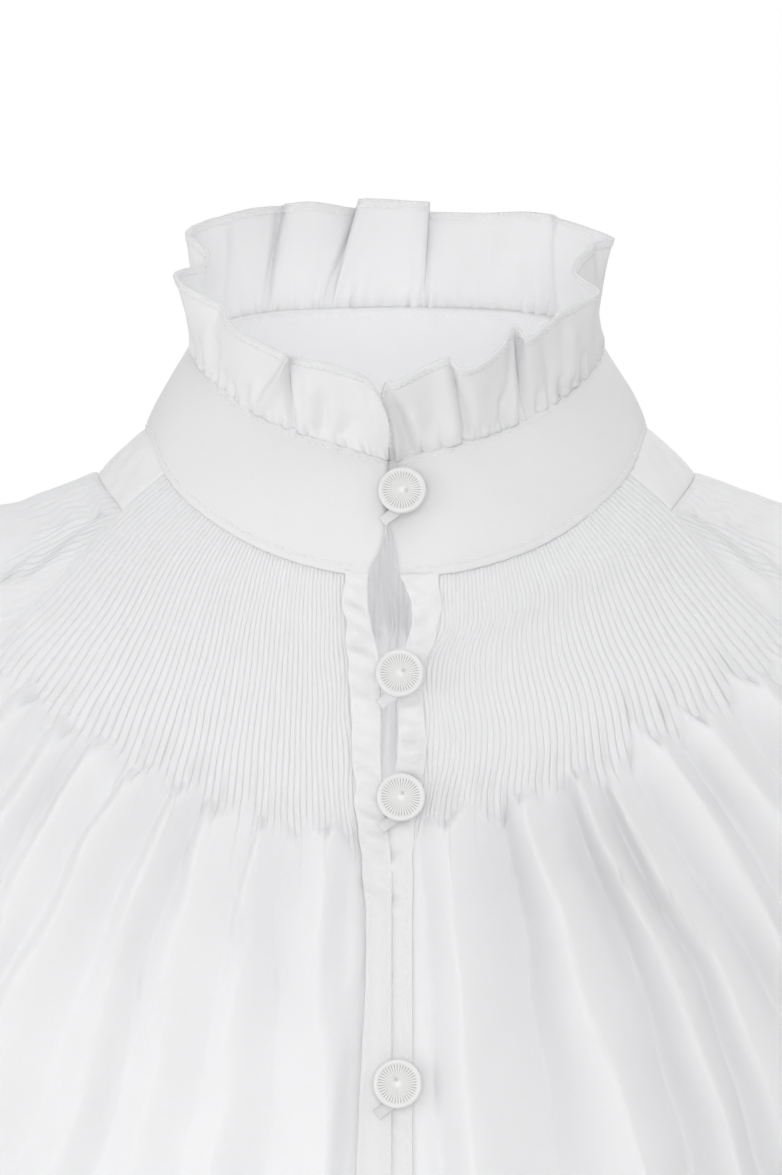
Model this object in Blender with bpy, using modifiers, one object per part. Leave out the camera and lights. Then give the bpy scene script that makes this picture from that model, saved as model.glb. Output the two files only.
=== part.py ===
"""High-necked dirndl blouse: ruffled stand-up neckband, tucked raglan fronts, back and sleeves, looped buttons.

Tables and named sizes are in millimetres, and MM turns them into Blender's metres. The blouse faces -Y, X runs
across it, Z is up, and its origin is midway between the two points where shoulder and neck meet.
"""
import math

import bmesh
import bpy
import numpy as np
from mathutils import Matrix, Vector

MM = 0.001

# Driving sizes
WALL = 1.0              # thickness of every cloth wall
SEAM_GAP = 0.5          # space between two pieces along a seam
LAYER_STEP = 2.0        # between the middles of two cloth walls that lie on each other
NECK_HALF_WIDTH = 73.5  # neck seam, between body and neckband
NECK_HALF_DEPTH = 63.0
NECK_CENTRE_Y = 1.0
TOP_HALF_WIDTH = 60.5   # upper seam, between neckband and ruffle
TOP_HALF_DEPTH = 52.0
TOP_CENTRE_Y = 3.5
BAND_BULGE = 1.0        # how far the neckband bows out halfway up
STRAP_FRONT_ANGLE = 66.0    # where the shoulder strap starts on the neck seam, from the centre front
STRAP_BACK_ANGLE = 114.0
STRAP_RUN = 18.0            # length of the strap's side seams
STRAP_LENGTH = 52.0         # and about of its other two, from front to back
STRAP_RIDGE = (89.0, 0.5, -13.4)    # middle of the strap's outer seam
RUFFLE_HEIGHT = 31.0
HEM_RUN = 455.0             # from the neck seam to the hem along the centre front
CUFF_DEPTH = 24.0
BUTTON_RADIUS = 7.0
BUTTON_THICKNESS = 2.6
SHANK_RADIUS = 1.5
TAPE_WIDTH = 2.8            # the button loops' folded tape
TAPE_WALL = 0.8
LOOP_RADIUS = 3.3           # the tape's middle line round the shank
LOOP_SLOPE = 38.0           # the loops slope down to the left edge
LOOP_REACH = 6.0

# Heights round the neck at the neck seam and at the neckband's upper seam
NECK_HEIGHTS = (
    # angle from the centre front, base, top
    (0, -35.0, -3.4),
    (15, -33.0, 1.2),
    (30, -28.4, 5.2),
    (45, -21.5, 10.2),
    (60, -12.8, 16.2),
    (80, -0.5, 22.8),
    (100, 1.0, 27.0),
    (130, -3.0, 30.5),
    (180, -6.0, 31.5),
)

# Sections of the body from the neck seam down. Each is an arc from the centre line to the raglan or side seam
FRONT_SECTIONS = (
    # run, centre y, centre z, sweep of the arc, crowding of the tucks towards the centre
    (0, -62.0, -35.0, 66, 1.00),
    (18, -67.5, -52.2, 67, 1.15),
    (45, -78.0, -77.0, 68, 1.30),
    (74, -88.5, -104.0, 70, 1.40),
    (110, -101.0, -137.8, 76, 1.38),
    (150, -113.0, -176.0, 82, 1.34),
    (190, -121.5, -215.0, 87, 1.30),
    (225, -125.0, -250.0, 90, 1.28),
    (300, -125.5, -325.0, 90, 1.22),
    (380, -123.0, -395.0, 90, 1.18),
    (455, -121.0, -462.0, 90, 1.15),
)
BACK_SECTIONS = (
    (0, 64.0, -6.0, 66, 1.00),
    (18, 69.0, -23.3, 67, 1.10),
    (45, 80.0, -48.0, 68, 1.20),
    (74, 91.0, -75.0, 70, 1.30),
    (110, 102.0, -109.2, 76, 1.30),
    (150, 111.0, -148.2, 82, 1.28),
    (190, 116.0, -188.0, 87, 1.26),
    (225, 119.0, -223.0, 90, 1.24),
    (300, 120.0, -305.0, 90, 1.20),
    (380, 118.5, -385.0, 90, 1.16),
    (455, 117.0, -462.0, 90, 1.12),
)
# Outer edge of the fronts and the back: strap seam, raglan seam to the underarm, then side seam
FRONT_EDGE = (
    # run, x, y, z
    (18, 81.0, -27.0, -20.6),
    (45, 100.0, -37.0, -40.5),
    (74, 119.0, -46.0, -58.5),
    (110, 141.0, -51.0, -90.0),
    (150, 157.5, -46.0, -130.0),
    (190, 167.0, -28.0, -167.0),
    (225, 171.0, 3.0, -190.0),
    (300, 172.0, 4.0, -285.0),
    (380, 180.0, 4.0, -380.0),
    (455, 188.0, 4.0, -462.0),
)
BACK_EDGE = (
    (18, 81.0, 30.0, -17.5),
    (45, 100.0, 44.0, -41.0),
    (74, 119.0, 54.0, -66.0),
    (110, 140.0, 59.0, -98.0),
    (150, 156.0, 53.0, -135.0),
    (190, 166.0, 33.0, -168.0),
    (225, 171.0, 3.0, -190.0),
    (300, 172.0, 4.0, -285.0),
    (380, 180.0, 4.0, -380.0),
    (455, 188.0, 4.0, -462.0),
)
UNDERARM_RUN = 225.0
UNDERARM_EASE = 3.4     # the walls turn sharply there, so their seam gap grows by this share

# Fold lines of the released cloth: crests stand out, troughs lie in. Place is 0 at the centre and 1 at the
# outer seam.
FOLD_DEPTH = 1.4        # all the fold heights below are multiplied by this
LEFT_FOLDS = (
    # place where the tucks end, place at the bust, height
    (0.198, 0.118, -2.0),
    (0.275, 0.190, 6.0),
    (0.350, 0.315, -3.0),
    (0.378, 0.360, 3.0),
    (0.438, 0.420, -3.0),
    (0.490, 0.465, 5.0),
    (0.525, 0.530, -4.0),
    (0.560, 0.570, 5.0),
    (0.600, 0.605, -3.0),
    (0.640, 0.645, 5.0),
    (0.685, 0.690, -3.0),
    (0.730, 0.735, 4.0),
    (0.785, 0.785, -2.0),
    (0.835, 0.835, 3.5),
    (0.885, 0.885, -1.5),
    (0.935, 0.935, 2.0),
)
RIGHT_FOLDS = (
    (0.105, 0.075, -3.0),
    (0.177, 0.158, 4.0),
    (0.255, 0.240, -2.0),
    (0.338, 0.352, 7.0),
    (0.413, 0.445, -4.0),
    (0.470, 0.488, 6.0),
    (0.503, 0.530, -2.5),
    (0.530, 0.570, 5.0),
    (0.572, 0.612, -4.0),
    (0.610, 0.650, 5.0),
    (0.660, 0.695, -3.0),
    (0.715, 0.745, 4.5),
    (0.780, 0.800, -2.0),
    (0.840, 0.850, 3.5),
    (0.890, 0.900, -1.5),
    (0.940, 0.940, 2.0),
)
BACK_LEFT_FOLDS = (
    (0.090, 0.075, 4.0),
    (0.170, 0.160, -3.0),
    (0.240, 0.245, 5.5),
    (0.320, 0.310, -2.5),
    (0.385, 0.395, 6.0),
    (0.450, 0.465, -4.0),
    (0.515, 0.525, 4.5),
    (0.570, 0.585, -2.5),
    (0.630, 0.640, 5.5),
    (0.700, 0.700, -3.0),
    (0.765, 0.770, 4.0),
    (0.840, 0.840, -2.0),
    (0.910, 0.910, 2.5),
)
BACK_RIGHT_FOLDS = (
    (0.060, 0.070, -2.5),
    (0.130, 0.140, 5.0),
    (0.215, 0.210, -3.5),
    (0.290, 0.300, 5.0),
    (0.355, 0.360, -2.0),
    (0.415, 0.430, 4.0),
    (0.490, 0.500, -4.0),
    (0.560, 0.565, 6.0),
    (0.630, 0.640, -3.0),
    (0.690, 0.700, 4.5),
    (0.770, 0.775, -2.5),
    (0.840, 0.845, 3.5),
    (0.920, 0.920, -1.0),
)
LEFT_TUCK_RUN = 79.0        # the pressed tucks end this far from the neck seam
RIGHT_TUCK_RUN = 73.0
BACK_TUCK_RUN = 75.0
FULL_RUN = 175.0            # by here the folds have their full height
HEM_GROWTH = 0.6            # and at the hem this much more
BILLOW = 3.0                # how far the released cloth springs out below the tucks

# Rows of the body's mesh, as runs from the neck seam, above and below the row where the tucks end. The sleeves
# share the ones along the raglan seam.
FIRST_ROW = 9
EDGE_ROWS = (18, 26, 35, 45, 58)
LOWER_ROWS = (88, 102, 125, 150, 190, 225, 280, 360, 455)

# Front edges: the seam between front and placket, and the placket's free edge, as x of the plain form
LEFT_PLACKET = (
    # run, seam x, free edge x
    (0, 15.1, 8.1),
    (6, 15.3, 8.5),
    (14, 15.0, 7.7),
    (24, 14.4, 5.3),
    (38, 13.4, 4.7),
    (58, 12.6, 4.5),
    (70, 11.8, 3.4),
    (84, 10.3, 1.6),
    (100, 8.9, 1.5),
    (120, 9.0, 1.5),
    (150, 10.6, 1.5),
    (455, 10.6, 1.5),
)
RIGHT_PLACKET = (
    (0, 12.5, 0.9),
    (8, 12.4, 4.1),
    (19, 11.6, 3.2),
    (24, 9.0, 1.1),
    (34, 7.4, 0.4),
    (50, 8.4, 0.3),
    (58, 7.8, -0.5),
    (70, 5.6, -5.0),
    (84, 4.7, -8.0),
    (100, 4.5, -8.5),
    (120, 4.5, -8.5),
    (150, 4.5, -8.5),
    (455, 4.5, -8.5),
)
# Neckband ends: x of the left end, which lies on top, and of the right end
BAND_ENDS = (
    # level, left x, right x
    (0.00, -8.1, 0.9),
    (0.25, -4.2, -0.3),
    (0.45, -3.2, -3.0),
    (0.60, -3.0, -7.0),
    (1.00, -2.6, -9.0),
)

# Neck ruffle: how far its free edge leans out
RUFFLE_LEAN = (
    # travel round the neck from the centre front over the left side, degrees from upright
    (0, 34), (30, 31), (50, 23), (70, 12), (85, 4), (100, -1), (120, 4), (150, 8), (180, 9),
    (240, 6), (262, 0), (275, 2), (290, 11), (310, 21), (330, 28), (366, 33),
)
RUFFLE_WAVES = (
    # travel, how far the free edge stands out
    (3, 0.5), (14, 2.5), (26, 3.5), (34, -2.5), (44, 3.5), (56, -3.0), (68, 3.5), (80, -3.0), (90, 1.5),
    (105, -1.5), (120, 2.0), (138, 1.5), (147, -2.0), (157, 1.0), (166, -4.0), (182, -4.0), (191, 1.5),
    (215, 2.5), (236, -2.0), (255, 1.0), (270, 1.0), (281, -3.0), (290, 2.5), (298, -2.0), (308, 3.5),
    (319, -2.0), (323, 1.5), (328, -2.5), (334, 3.0), (341, -2.5), (349, 2.5), (356, -1.0), (366, -1.5),
)
RUFFLE_ENDS = (2.5, 364.5)      # the right end passes below the left one

# Sleeve sections: the top and underarm points of each ring, and half of its depth from front to back
SLEEVE_RINGS = (
    # top x, top z, under x, under z, half depth
    (150.0, -28.0, 181.0, -195.0, 60.0),
    (190.0, -39.0, 184.5, -201.0, 65.0),
    (226.0, -63.0, 188.0, -209.0, 68.0),
    (256.0, -98.0, 191.0, -220.0, 69.0),
    (282.0, -144.0, 195.0, -237.0, 67.0),
    (302.0, -191.0, 200.0, -259.0, 65.0),
    (314.0, -228.0, 206.0, -281.0, 62.0),
    (320.0, -258.0, 215.0, -299.0, 56.0),
    (314.0, -281.0, 235.0, -311.0, 43.0),
)
SHOULDER_SAG = 3.5      # the sleeve head dips between the strap and the shoulder
SLEEVE_CENTRE_Y = 3.0
ARM_AXIS = (0.358, 0.0, -0.934)
# The sleeve's own seam: place round the sleeve from its top over the front, run along the raglan seam
SLEEVE_SEAM = ((0.05, 18), (0.10, 45), (0.145, 74), (0.193, 110), (0.272, 150), (0.356, 190), (0.50, 225))
SLEEVE_FOLDS = (
    # place round the sleeve, height
    (0.00, 3.5), (0.05, -2.0), (0.10, 4.0), (0.16, -3.0), (0.22, 4.5), (0.29, -2.5), (0.36, 3.5), (0.43, -1.5),
    (0.50, 1.0), (0.57, -1.5), (0.64, 3.5), (0.70, -3.0), (0.77, 4.5), (0.83, -2.5), (0.89, 4.0), (0.95, -2.5),
)

BUTTON_RUNS = (30.0, 66.5, 148.5, 231.0, 314.0, 397.0)   # down the placket, below the one on the neckband
BUTTON_X = (0.9, 1.2, 0.2, 0.2, 0.2, 0.2)
BAND_BUTTON = (2.0, 0.70)       # x and level on the neckband
BUTTON_LIFT = 3.0               # from the middle of the placket's cloth to the button's back

CLOTH_COLOUR = (0.90, 0.90, 0.91)
BUTTON_COLOUR = (0.91, 0.91, 0.90)


def flow(knots, values, at):
    """Smooth curve through a table's values, read at one or many places."""
    knots = np.asarray(knots, float)
    values = np.asarray(values, float)
    at = np.clip(np.asarray(at, float), knots[0], knots[-1])
    slopes = np.gradient(values, knots, axis=0)
    i = np.clip(np.searchsorted(knots, at, side="right") - 1, 0, len(knots) - 2)
    width = knots[i + 1] - knots[i]
    t = (at - knots[i]) / width
    if values.ndim > 1:
        t = t[..., None]
        width = width[..., None]
    return ((2 * t**3 - 3 * t**2 + 1) * values[i] + (t**3 - 2 * t**2 + t) * width * slopes[i]
            + (3 * t**2 - 2 * t**3) * values[i + 1] + (t**3 - t**2) * width * slopes[i + 1])


def ease(value, start, end):
    """0 before start, 1 after end, and a soft step between."""
    t = np.clip((np.asarray(value, float) - start) / (end - start), 0, 1)
    return t * t * (3 - 2 * t)


def unit(vectors):
    return vectors / np.linalg.norm(vectors, axis=-1, keepdims=True)


def neck_point(angle, level):
    """Point on the neckband: angle in degrees from the centre front, level 0 at its base and 1 at its top."""
    angle, level = np.broadcast_arrays(np.asarray(angle, float), np.asarray(level, float))
    table = np.array(NECK_HEIGHTS, float)
    turn = np.abs((angle + 180) % 360 - 180)
    heights = flow(table[:, 0], table[:, 1:], turn)
    a = np.radians(angle)
    bulge = BAND_BULGE * 4 * level * (1 - level)
    half_width = NECK_HALF_WIDTH + (TOP_HALF_WIDTH - NECK_HALF_WIDTH) * level + bulge
    half_depth = NECK_HALF_DEPTH + (TOP_HALF_DEPTH - NECK_HALF_DEPTH) * level + bulge
    centre_y = NECK_CENTRE_Y + (TOP_CENTRE_Y - NECK_CENTRE_Y) * level
    return np.stack([half_width * np.sin(a), centre_y - half_depth * np.cos(a),
                     heights[..., 0] * (1 - level) + heights[..., 1] * level], -1)


def body_edge(edge, neck_angle, run):
    """Outer edge of a front or of the back at a run from the neck seam."""
    start = [0.0, *neck_point(neck_angle, 0.0)]
    table = np.array([start, *edge], float)
    corner = int(np.searchsorted(table[:, 0], UNDERARM_RUN))
    run = np.asarray(run, float)
    raglan = flow(table[:corner + 1, 0], table[:corner + 1, 1:], run)
    side_seam = flow(table[corner:, 0], table[corner:, 1:], run)
    return np.where(run[..., None] < UNDERARM_RUN, raglan, side_seam)


class BodyForm:
    """The plain, unfolded form of one half of the front or back."""

    def __init__(self, side, sections, edge, neck_angle, away):
        self.side = side
        self.table = np.array(sections, float)
        self.edge = edge
        self.neck_angle = neck_angle
        self.away = away        # the neck angle of its centre line

    def plain(self, u, run):
        """Points for places u across and runs down; u has a row for each run."""
        edges = body_edge(self.edge, self.neck_angle, self.table[:, 0])
        rows = []
        for (_, centre_y, centre_z, sweep, crowding), (edge_x, edge_y, edge_z) in zip(self.table, edges):
            full = math.radians(sweep)
            turn = full * np.sign(u) * np.abs(u)**crowding
            side = np.sin(turn) / math.sin(full)
            depth = (1 - np.cos(turn)) / (1 - math.cos(full))
            rows.append(np.stack([edge_x * side, centre_y + (edge_y - centre_y) * depth,
                                  centre_z + (edge_z - centre_z) * np.abs(side)**1.7], -1))
        rows[0] = neck_point(self.away + (self.neck_angle - self.away) * u, 0.0)
        weights = flow(self.table[:, 0], np.eye(len(self.table)), run)
        points = np.einsum("vk,kvuc->vuc", weights, np.array(rows))
        to_seam = body_edge(self.edge, self.neck_angle, run) - weights @ edges
        return points + to_seam[:, None] * np.abs(u[..., None])**8

    def normals(self, u, run):
        across = self.plain(u, run) - self.plain(u - 0.002, run)
        along = self.plain(u, run + 0.5) - self.plain(u, run - 0.5)
        before = self.plain(u, run) - self.plain(u, run - 1)
        along = np.where(np.abs(along).sum(-1, keepdims=True) > 0, along, before)
        normal = unit(np.cross(across, along))
        return normal * (1 if self.away else -1)

    def points(self, u, run, lift):
        """Points moved out from the plain form by lift, on the form's own side."""
        run = np.asarray(run, float)
        u, lift = np.broadcast_arrays(u, lift)
        return (self.plain(u, run) + self.normals(u, run) * lift[..., None]) * (self.side, 1, 1)

    def place_of_x(self, x, run):
        """Place u of a distance x from the centre line near it, for each run."""
        probe = np.broadcast_to(np.linspace(-0.35, 0.35, 141), (len(run), 141))
        found = self.plain(probe, run)[..., 0]
        return np.array([np.interp(x_here, row, probe[0]) for x_here, row in zip(x, found)])

    def outer_place(self, run):
        """Place u of the cloth's edge, half a seam gap inside the outer seam, for each run."""
        ones = np.ones((len(run), 1))
        stretch = np.linalg.norm(self.plain(ones, run) - self.plain(ones * 0.99, run), axis=-1)[:, 0]
        underarm = ease(run, 90, 150) * (1 - ease(run, UNDERARM_RUN, UNDERARM_RUN + 40))
        return 1 - 0.01 * SEAM_GAP / 2 * (1 + UNDERARM_EASE * underarm) / stretch


FRONT_LEFT = BodyForm(-1, FRONT_SECTIONS, FRONT_EDGE, STRAP_FRONT_ANGLE, 0)
FRONT_RIGHT = BodyForm(1, FRONT_SECTIONS, FRONT_EDGE, STRAP_FRONT_ANGLE, 0)
BACK_LEFT = BodyForm(-1, BACK_SECTIONS, BACK_EDGE, STRAP_BACK_ANGLE, 180)
BACK_RIGHT = BodyForm(1, BACK_SECTIONS, BACK_EDGE, STRAP_BACK_ANGLE, 180)


def fold_lift(run, tuck_run):
    """Share of a fold's height, and the billow, at each run below the tucks."""
    growth = 1 + HEM_GROWTH * ease(run, FULL_RUN, HEM_RUN)
    return ease(run, tuck_run, FULL_RUN) * growth, BILLOW * ease(run, tuck_run, tuck_run + 22)


def folded_grid(form, folds, inner_place, tuck_run, run):
    """Places across and lifts of the mesh columns: one column on every fold line, and one on each edge."""
    share, billow = fold_lift(run, tuck_run)
    drift = ease(run, tuck_run, FULL_RUN)
    outer = form.outer_place(run)
    columns = [inner_place]
    lifts = [0 * run]
    for top, low, height in folds:
        columns.append(top + (low - top) * drift)
        lifts.append(FOLD_DEPTH * height * share + billow)
    columns.append(outer)
    lifts.append(0 * run)
    return np.stack(columns, 1), np.stack(lifts, 1)


def body_rows(tuck_run):
    return np.array([SEAM_GAP, FIRST_ROW, *EDGE_ROWS, tuck_run, *LOWER_ROWS], float)


def make_material(name, colour, roughness):
    material = bpy.data.materials.new(name)
    material.use_nodes = True
    shader = material.node_tree.nodes["Principled BSDF"]
    shader.inputs["Base Color"].default_value = (*colour, 1)
    shader.inputs["Roughness"].default_value = roughness
    return material


# === Building ===
for old in list(bpy.data.objects):
    bpy.data.objects.remove(old, do_unlink=True)

blouse = bpy.data.collections.new("dirndl_blouse")
bpy.context.scene.collection.children.link(blouse)


def add_object(name, mesh, material):
    mesh.materials.append(material)
    piece = bpy.data.objects.new(name, mesh)
    blouse.objects.link(piece)
    return piece


def cloth(name, points, closed=False, wall=WALL):
    """Cloth wall through a grid of points in millimetres: rows down, columns across, open or closed round."""
    rows, columns = points.shape[:2]
    mesh = bpy.data.meshes.new(name)
    bm = bmesh.new()
    grid = [[bm.verts.new(Vector(point) * MM) for point in row] for row in points.tolist()]
    for r in range(rows - 1):
        for c in range(columns if closed else columns - 1):
            d = (c + 1) % columns
            bm.faces.new((grid[r][c], grid[r][d], grid[r + 1][d], grid[r + 1][c]))
    bm.to_mesh(mesh)
    bm.free()
    mesh.shade_smooth()
    piece = add_object(name, mesh, make_material(name + "_cotton", CLOTH_COLOUR, 0.85))
    shell = piece.modifiers.new("wall", "SOLIDIFY")
    shell.thickness = wall * MM
    shell.offset = 0
    return piece


# Fronts: from the placket seam to the raglan and side seams
def front(name, form, folds, placket, tuck_run):
    run = body_rows(tuck_run)
    table = np.array(placket, float)
    inner = form.place_of_x(flow(table[:, 0], table[:, 1], run) + SEAM_GAP / 2, run)
    u, lift = folded_grid(form, folds, inner, tuck_run, run)
    cloth(name, form.points(u, run, lift))


front("front_left", FRONT_LEFT, LEFT_FOLDS, LEFT_PLACKET, LEFT_TUCK_RUN)
front("front_right", FRONT_RIGHT, RIGHT_FOLDS, RIGHT_PLACKET, RIGHT_TUCK_RUN)


# Back: one piece, its two halves meeting on the centre line
def back():
    run = body_rows(BACK_TUCK_RUN)
    billow = fold_lift(run, BACK_TUCK_RUN)[1][:, None]
    halves = []
    for form, folds in ((BACK_LEFT, BACK_LEFT_FOLDS), (BACK_RIGHT, BACK_RIGHT_FOLDS)):
        u, lift = folded_grid(form, folds, 0 * run, BACK_TUCK_RUN, run)
        lift[:, :1] = billow
        halves.append(form.points(u, run, lift))
    left, right = halves
    cloth("back", np.concatenate([left[:, :0:-1], right], 1))


back()


# Shoulder straps: plain pieces bridging front and back between the neckband and the sleeve head
def strap_outer(q):
    """The strap's outer seam, q 0 at its front corner and 1 at its back corner."""
    corners = np.array([body_edge(FRONT_EDGE, STRAP_FRONT_ANGLE, STRAP_RUN), STRAP_RIDGE,
                        body_edge(BACK_EDGE, STRAP_BACK_ANGLE, STRAP_RUN)])
    return flow((0, 0.5, 1), corners, q)


def strap_points(side, across, along):
    """Patch between four seams: across runs from front to back, along from the neckband to the sleeve."""
    q, t = across[None, :, None], along[:, None, None]
    front_seam = body_edge(FRONT_EDGE, STRAP_FRONT_ANGLE, along * STRAP_RUN)[:, None]
    back_seam = body_edge(BACK_EDGE, STRAP_BACK_ANGLE, along * STRAP_RUN)[:, None]
    neck = neck_point(STRAP_FRONT_ANGLE + (STRAP_BACK_ANGLE - STRAP_FRONT_ANGLE) * across, 0.0)[None]
    outer = strap_outer(across)[None]
    corners = ((1 - q) * (1 - t) * neck[:, :1] + q * (1 - t) * neck[:, -1:]
               + (1 - q) * t * outer[:, :1] + q * t * outer[:, -1:])
    patch = (1 - q) * front_seam + q * back_seam + (1 - t) * neck + t * outer - corners
    return patch * (side, 1, 1)


def strap(name, side):
    """The patch is drawn out to its seams, and the cloth stops short of them."""
    edge_across = SEAM_GAP / 2 / STRAP_LENGTH
    edge_along = SEAM_GAP / STRAP_RUN
    across = np.linspace(edge_across, 1 - edge_across, 9)
    along = np.linspace(edge_along, 1 - edge_along / 2, 5)
    points = strap_points(side, np.array([0, *across, 1]), np.array([0, *along, 1]))
    cloth(name, points[1:-1, 1:-1])


strap("strap_left", -1)
strap("strap_right", 1)


# Neckband: one strip from its left end on top, round the back, to its right end below
def neckband():
    ends = np.array(BAND_ENDS, float)
    levels = np.array([0.0, 0.25, 0.6, 0.985])
    travel = np.linspace(0, 1, 43)
    rows = []
    for level in levels:
        left_x, right_x = flow(ends[:, 0], ends[:, 1:], level)
        half_width = NECK_HALF_WIDTH + (TOP_HALF_WIDTH - NECK_HALF_WIDTH) * level
        start = math.degrees(math.asin(left_x / half_width))
        end = math.degrees(math.asin(right_x / half_width)) - 360
        angle = start + (end - start) * travel
        tuck_in = LAYER_STEP * ease(angle, -345, -358)
        points = neck_point(angle, level)
        inward = unit(np.array([0.0, TOP_CENTRE_Y, 0.0]) - points * (1, 1, 0))
        rows.append(points + inward * tuck_in[:, None])
    cloth("neckband", np.array(rows))


neckband()


# Ruffle: gathered into the neckband's upper seam, leaning out more at the front
def ruffle():
    travel = np.linspace(*RUFFLE_ENDS, 95)
    seam = neck_point(-travel, 1.0)
    outward = unit((seam - (0, TOP_CENTRE_Y, 0)) * (1, 1, 0))
    lean = np.radians(flow(*np.array(RUFFLE_LEAN, float).T, travel))
    waves = flow(*np.array(RUFFLE_WAVES, float).T, travel)
    tuck_in = -LAYER_STEP * ease(travel, 344, 357)
    rows = []
    for height in (0.0, 0.4, 1.0):
        out = np.sin(lean) * RUFFLE_HEIGHT * height + waves * height**0.8 + tuck_in
        up = SEAM_GAP + np.cos(lean) * RUFFLE_HEIGHT * height
        rows.append(seam + outward * out[:, None] + np.outer(up, (0, 0, 1)))
    cloth("ruffle", np.array(rows))


ruffle()


# Plackets: strips along the front edges, the left one above and the right one below the plain form
def placket(name, form, table, tuck_run, layer):
    run = body_rows(tuck_run)
    seam_x, free_x = flow(np.array(table, float)[:, 0], np.array(table, float)[:, 1:], run).T
    seam_x = seam_x - SEAM_GAP / 2
    columns = [form.place_of_x(seam_x + (free_x - seam_x) * share, run) for share in (0, 0.5, 1)]
    lift = np.full((len(run), 3), layer)
    cloth(name, form.points(np.stack(columns, 1), run, lift))


placket("placket_left", FRONT_LEFT, LEFT_PLACKET, LEFT_TUCK_RUN, LAYER_STEP / 2)
placket("placket_right", FRONT_RIGHT, RIGHT_PLACKET, RIGHT_TUCK_RUN, -LAYER_STEP / 2)


# Sleeves: from the strap's outer seam and both raglan seams, over the shoulder and down to the cuff
def sleeve_head(place):
    """The sleeve's seam with strap, front and back; place 0 is on top and 0.5 at the underarm."""
    place = place % 1
    seam = np.array(SLEEVE_SEAM, float)
    points = []
    for w in place:
        near = min(w, 1 - w)
        edge, angle = (FRONT_EDGE, STRAP_FRONT_ANGLE) if w < 0.5 else (BACK_EDGE, STRAP_BACK_ANGLE)
        if near < seam[0, 0]:
            reach = near / seam[0, 0] / 2
            points.append(strap_outer(0.5 - reach if w < 0.5 else 0.5 + reach))
        else:
            points.append(body_edge(edge, angle, np.interp(near, seam[:, 0], seam[:, 1])))
    return np.array(points)


def sleeve_ring(ring, place):
    top_x, top_z, under_x, under_z, half_depth = ring
    turn = 2 * np.pi * place[:, None]
    centre = np.array([(top_x + under_x) / 2, SLEEVE_CENTRE_Y, (top_z + under_z) / 2])
    tall = np.array([(top_x - under_x) / 2, 0, (top_z - under_z) / 2])
    deep = np.array([0, -half_depth, 0])
    return centre + tall * np.cos(turn) + deep * np.sin(turn)


def sleeve_points(place, down):
    """Rings down the sleeve: down 0 is its head seam, 1 lies over the shoulder and so on to the cuff seam."""
    rings = [sleeve_head(place)] + [sleeve_ring(ring, place) for ring in SLEEVE_RINGS]
    shoulder = (rings[0] + rings[1]) / 2
    near_top = np.clip(np.cos(2 * np.pi * place), 0, 1)**6
    shoulder[:, 2] -= SHOULDER_SAG * near_top
    rings = np.array([rings[0], shoulder, *rings[1:]])
    weights = flow(np.arange(len(rings)), np.eye(len(rings)), down)
    return np.einsum("dwk,kwc->dwc", weights, rings), np.linalg.norm(rings[1] - rings[0], axis=-1)


def sleeve(name, side):
    seam = np.array(SLEEVE_SEAM, float)
    runs = [run for run in (*EDGE_ROWS, 74, *LOWER_ROWS) if run <= UNDERARM_RUN]
    front_place = np.interp(runs, seam[:, 1], seam[:, 0])
    place = np.array([0, seam[0, 0] / 2, *front_place, *(1 - front_place[-2::-1]), 1 - seam[0, 0] / 2])
    folds = np.array([*SLEEVE_FOLDS, (1.0, SLEEVE_FOLDS[0][1])])
    height = np.interp(place, folds[:, 0], folds[:, 1])
    down = np.tile(np.array([[0, 0.5, 1, 1.8, 2.8, 3.8, 4.8, 6.0, 7.2, 8.2, 9.2, 10]]).T, (1, len(place)))
    first_step = sleeve_points(place, down)[1]
    underarm = ease(np.minimum(place, 1 - place), 0.15, 0.3)
    down[0] = SEAM_GAP * (1 + UNDERARM_EASE * underarm) / first_step
    down[-1] -= 0.03
    points = sleeve_points(place, down)[0]
    around = np.roll(points, -1, 1) - np.roll(points, 1, 1)
    along = np.gradient(points, axis=0)
    normal = unit(np.cross(along, around))
    normal *= np.sign(np.sum(normal[6] * (points[6] - points[6].mean(0)), -1).mean())
    share = ease(down, 0.3, 3.5) * (1 - 0.7 * ease(down, 8.8, 10))
    points = points + normal * (height * share)[..., None]
    cloth(name, points * (side, 1, 1), closed=True)


sleeve("sleeve_left", -1)
sleeve("sleeve_right", 1)


# Cuffs: narrow bands that carry on from the sleeves' last ring
def cuff(name, side):
    place = np.arange(28) / 28
    ring = sleeve_ring(SLEEVE_RINGS[-1], place)
    axis = np.array(ARM_AXIS)
    rows = [ring + axis * (SEAM_GAP + CUFF_DEPTH * share) for share in (0, 1)]
    cloth(name, np.array(rows) * (side, 1, 1), closed=True)


cuff("cuff_left", -1)
cuff("cuff_right", 1)


# Buttons: turned white discs with a raised rim, on a short shank that rests on the right placket
def button_mesh():
    shank = BUTTON_LIFT - LAYER_STEP / 2 - WALL / 2
    profile = (
        (0.0, BUTTON_THICKNESS - 0.9),
        (BUTTON_RADIUS - 1.6, BUTTON_THICKNESS - 0.5),
        (BUTTON_RADIUS - 0.9, BUTTON_THICKNESS),
        (BUTTON_RADIUS, BUTTON_THICKNESS - 0.6),
        (BUTTON_RADIUS - 0.6, 0.2),
        (SHANK_RADIUS, 0.0),
        (SHANK_RADIUS, -shank),
        (0.0, -shank),
    )
    mesh = bpy.data.meshes.new("button")
    mesh.from_pydata([(r * MM, 0, z * MM) for r, z in profile], [(i, i + 1) for i in range(len(profile) - 1)], [])
    return mesh


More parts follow.
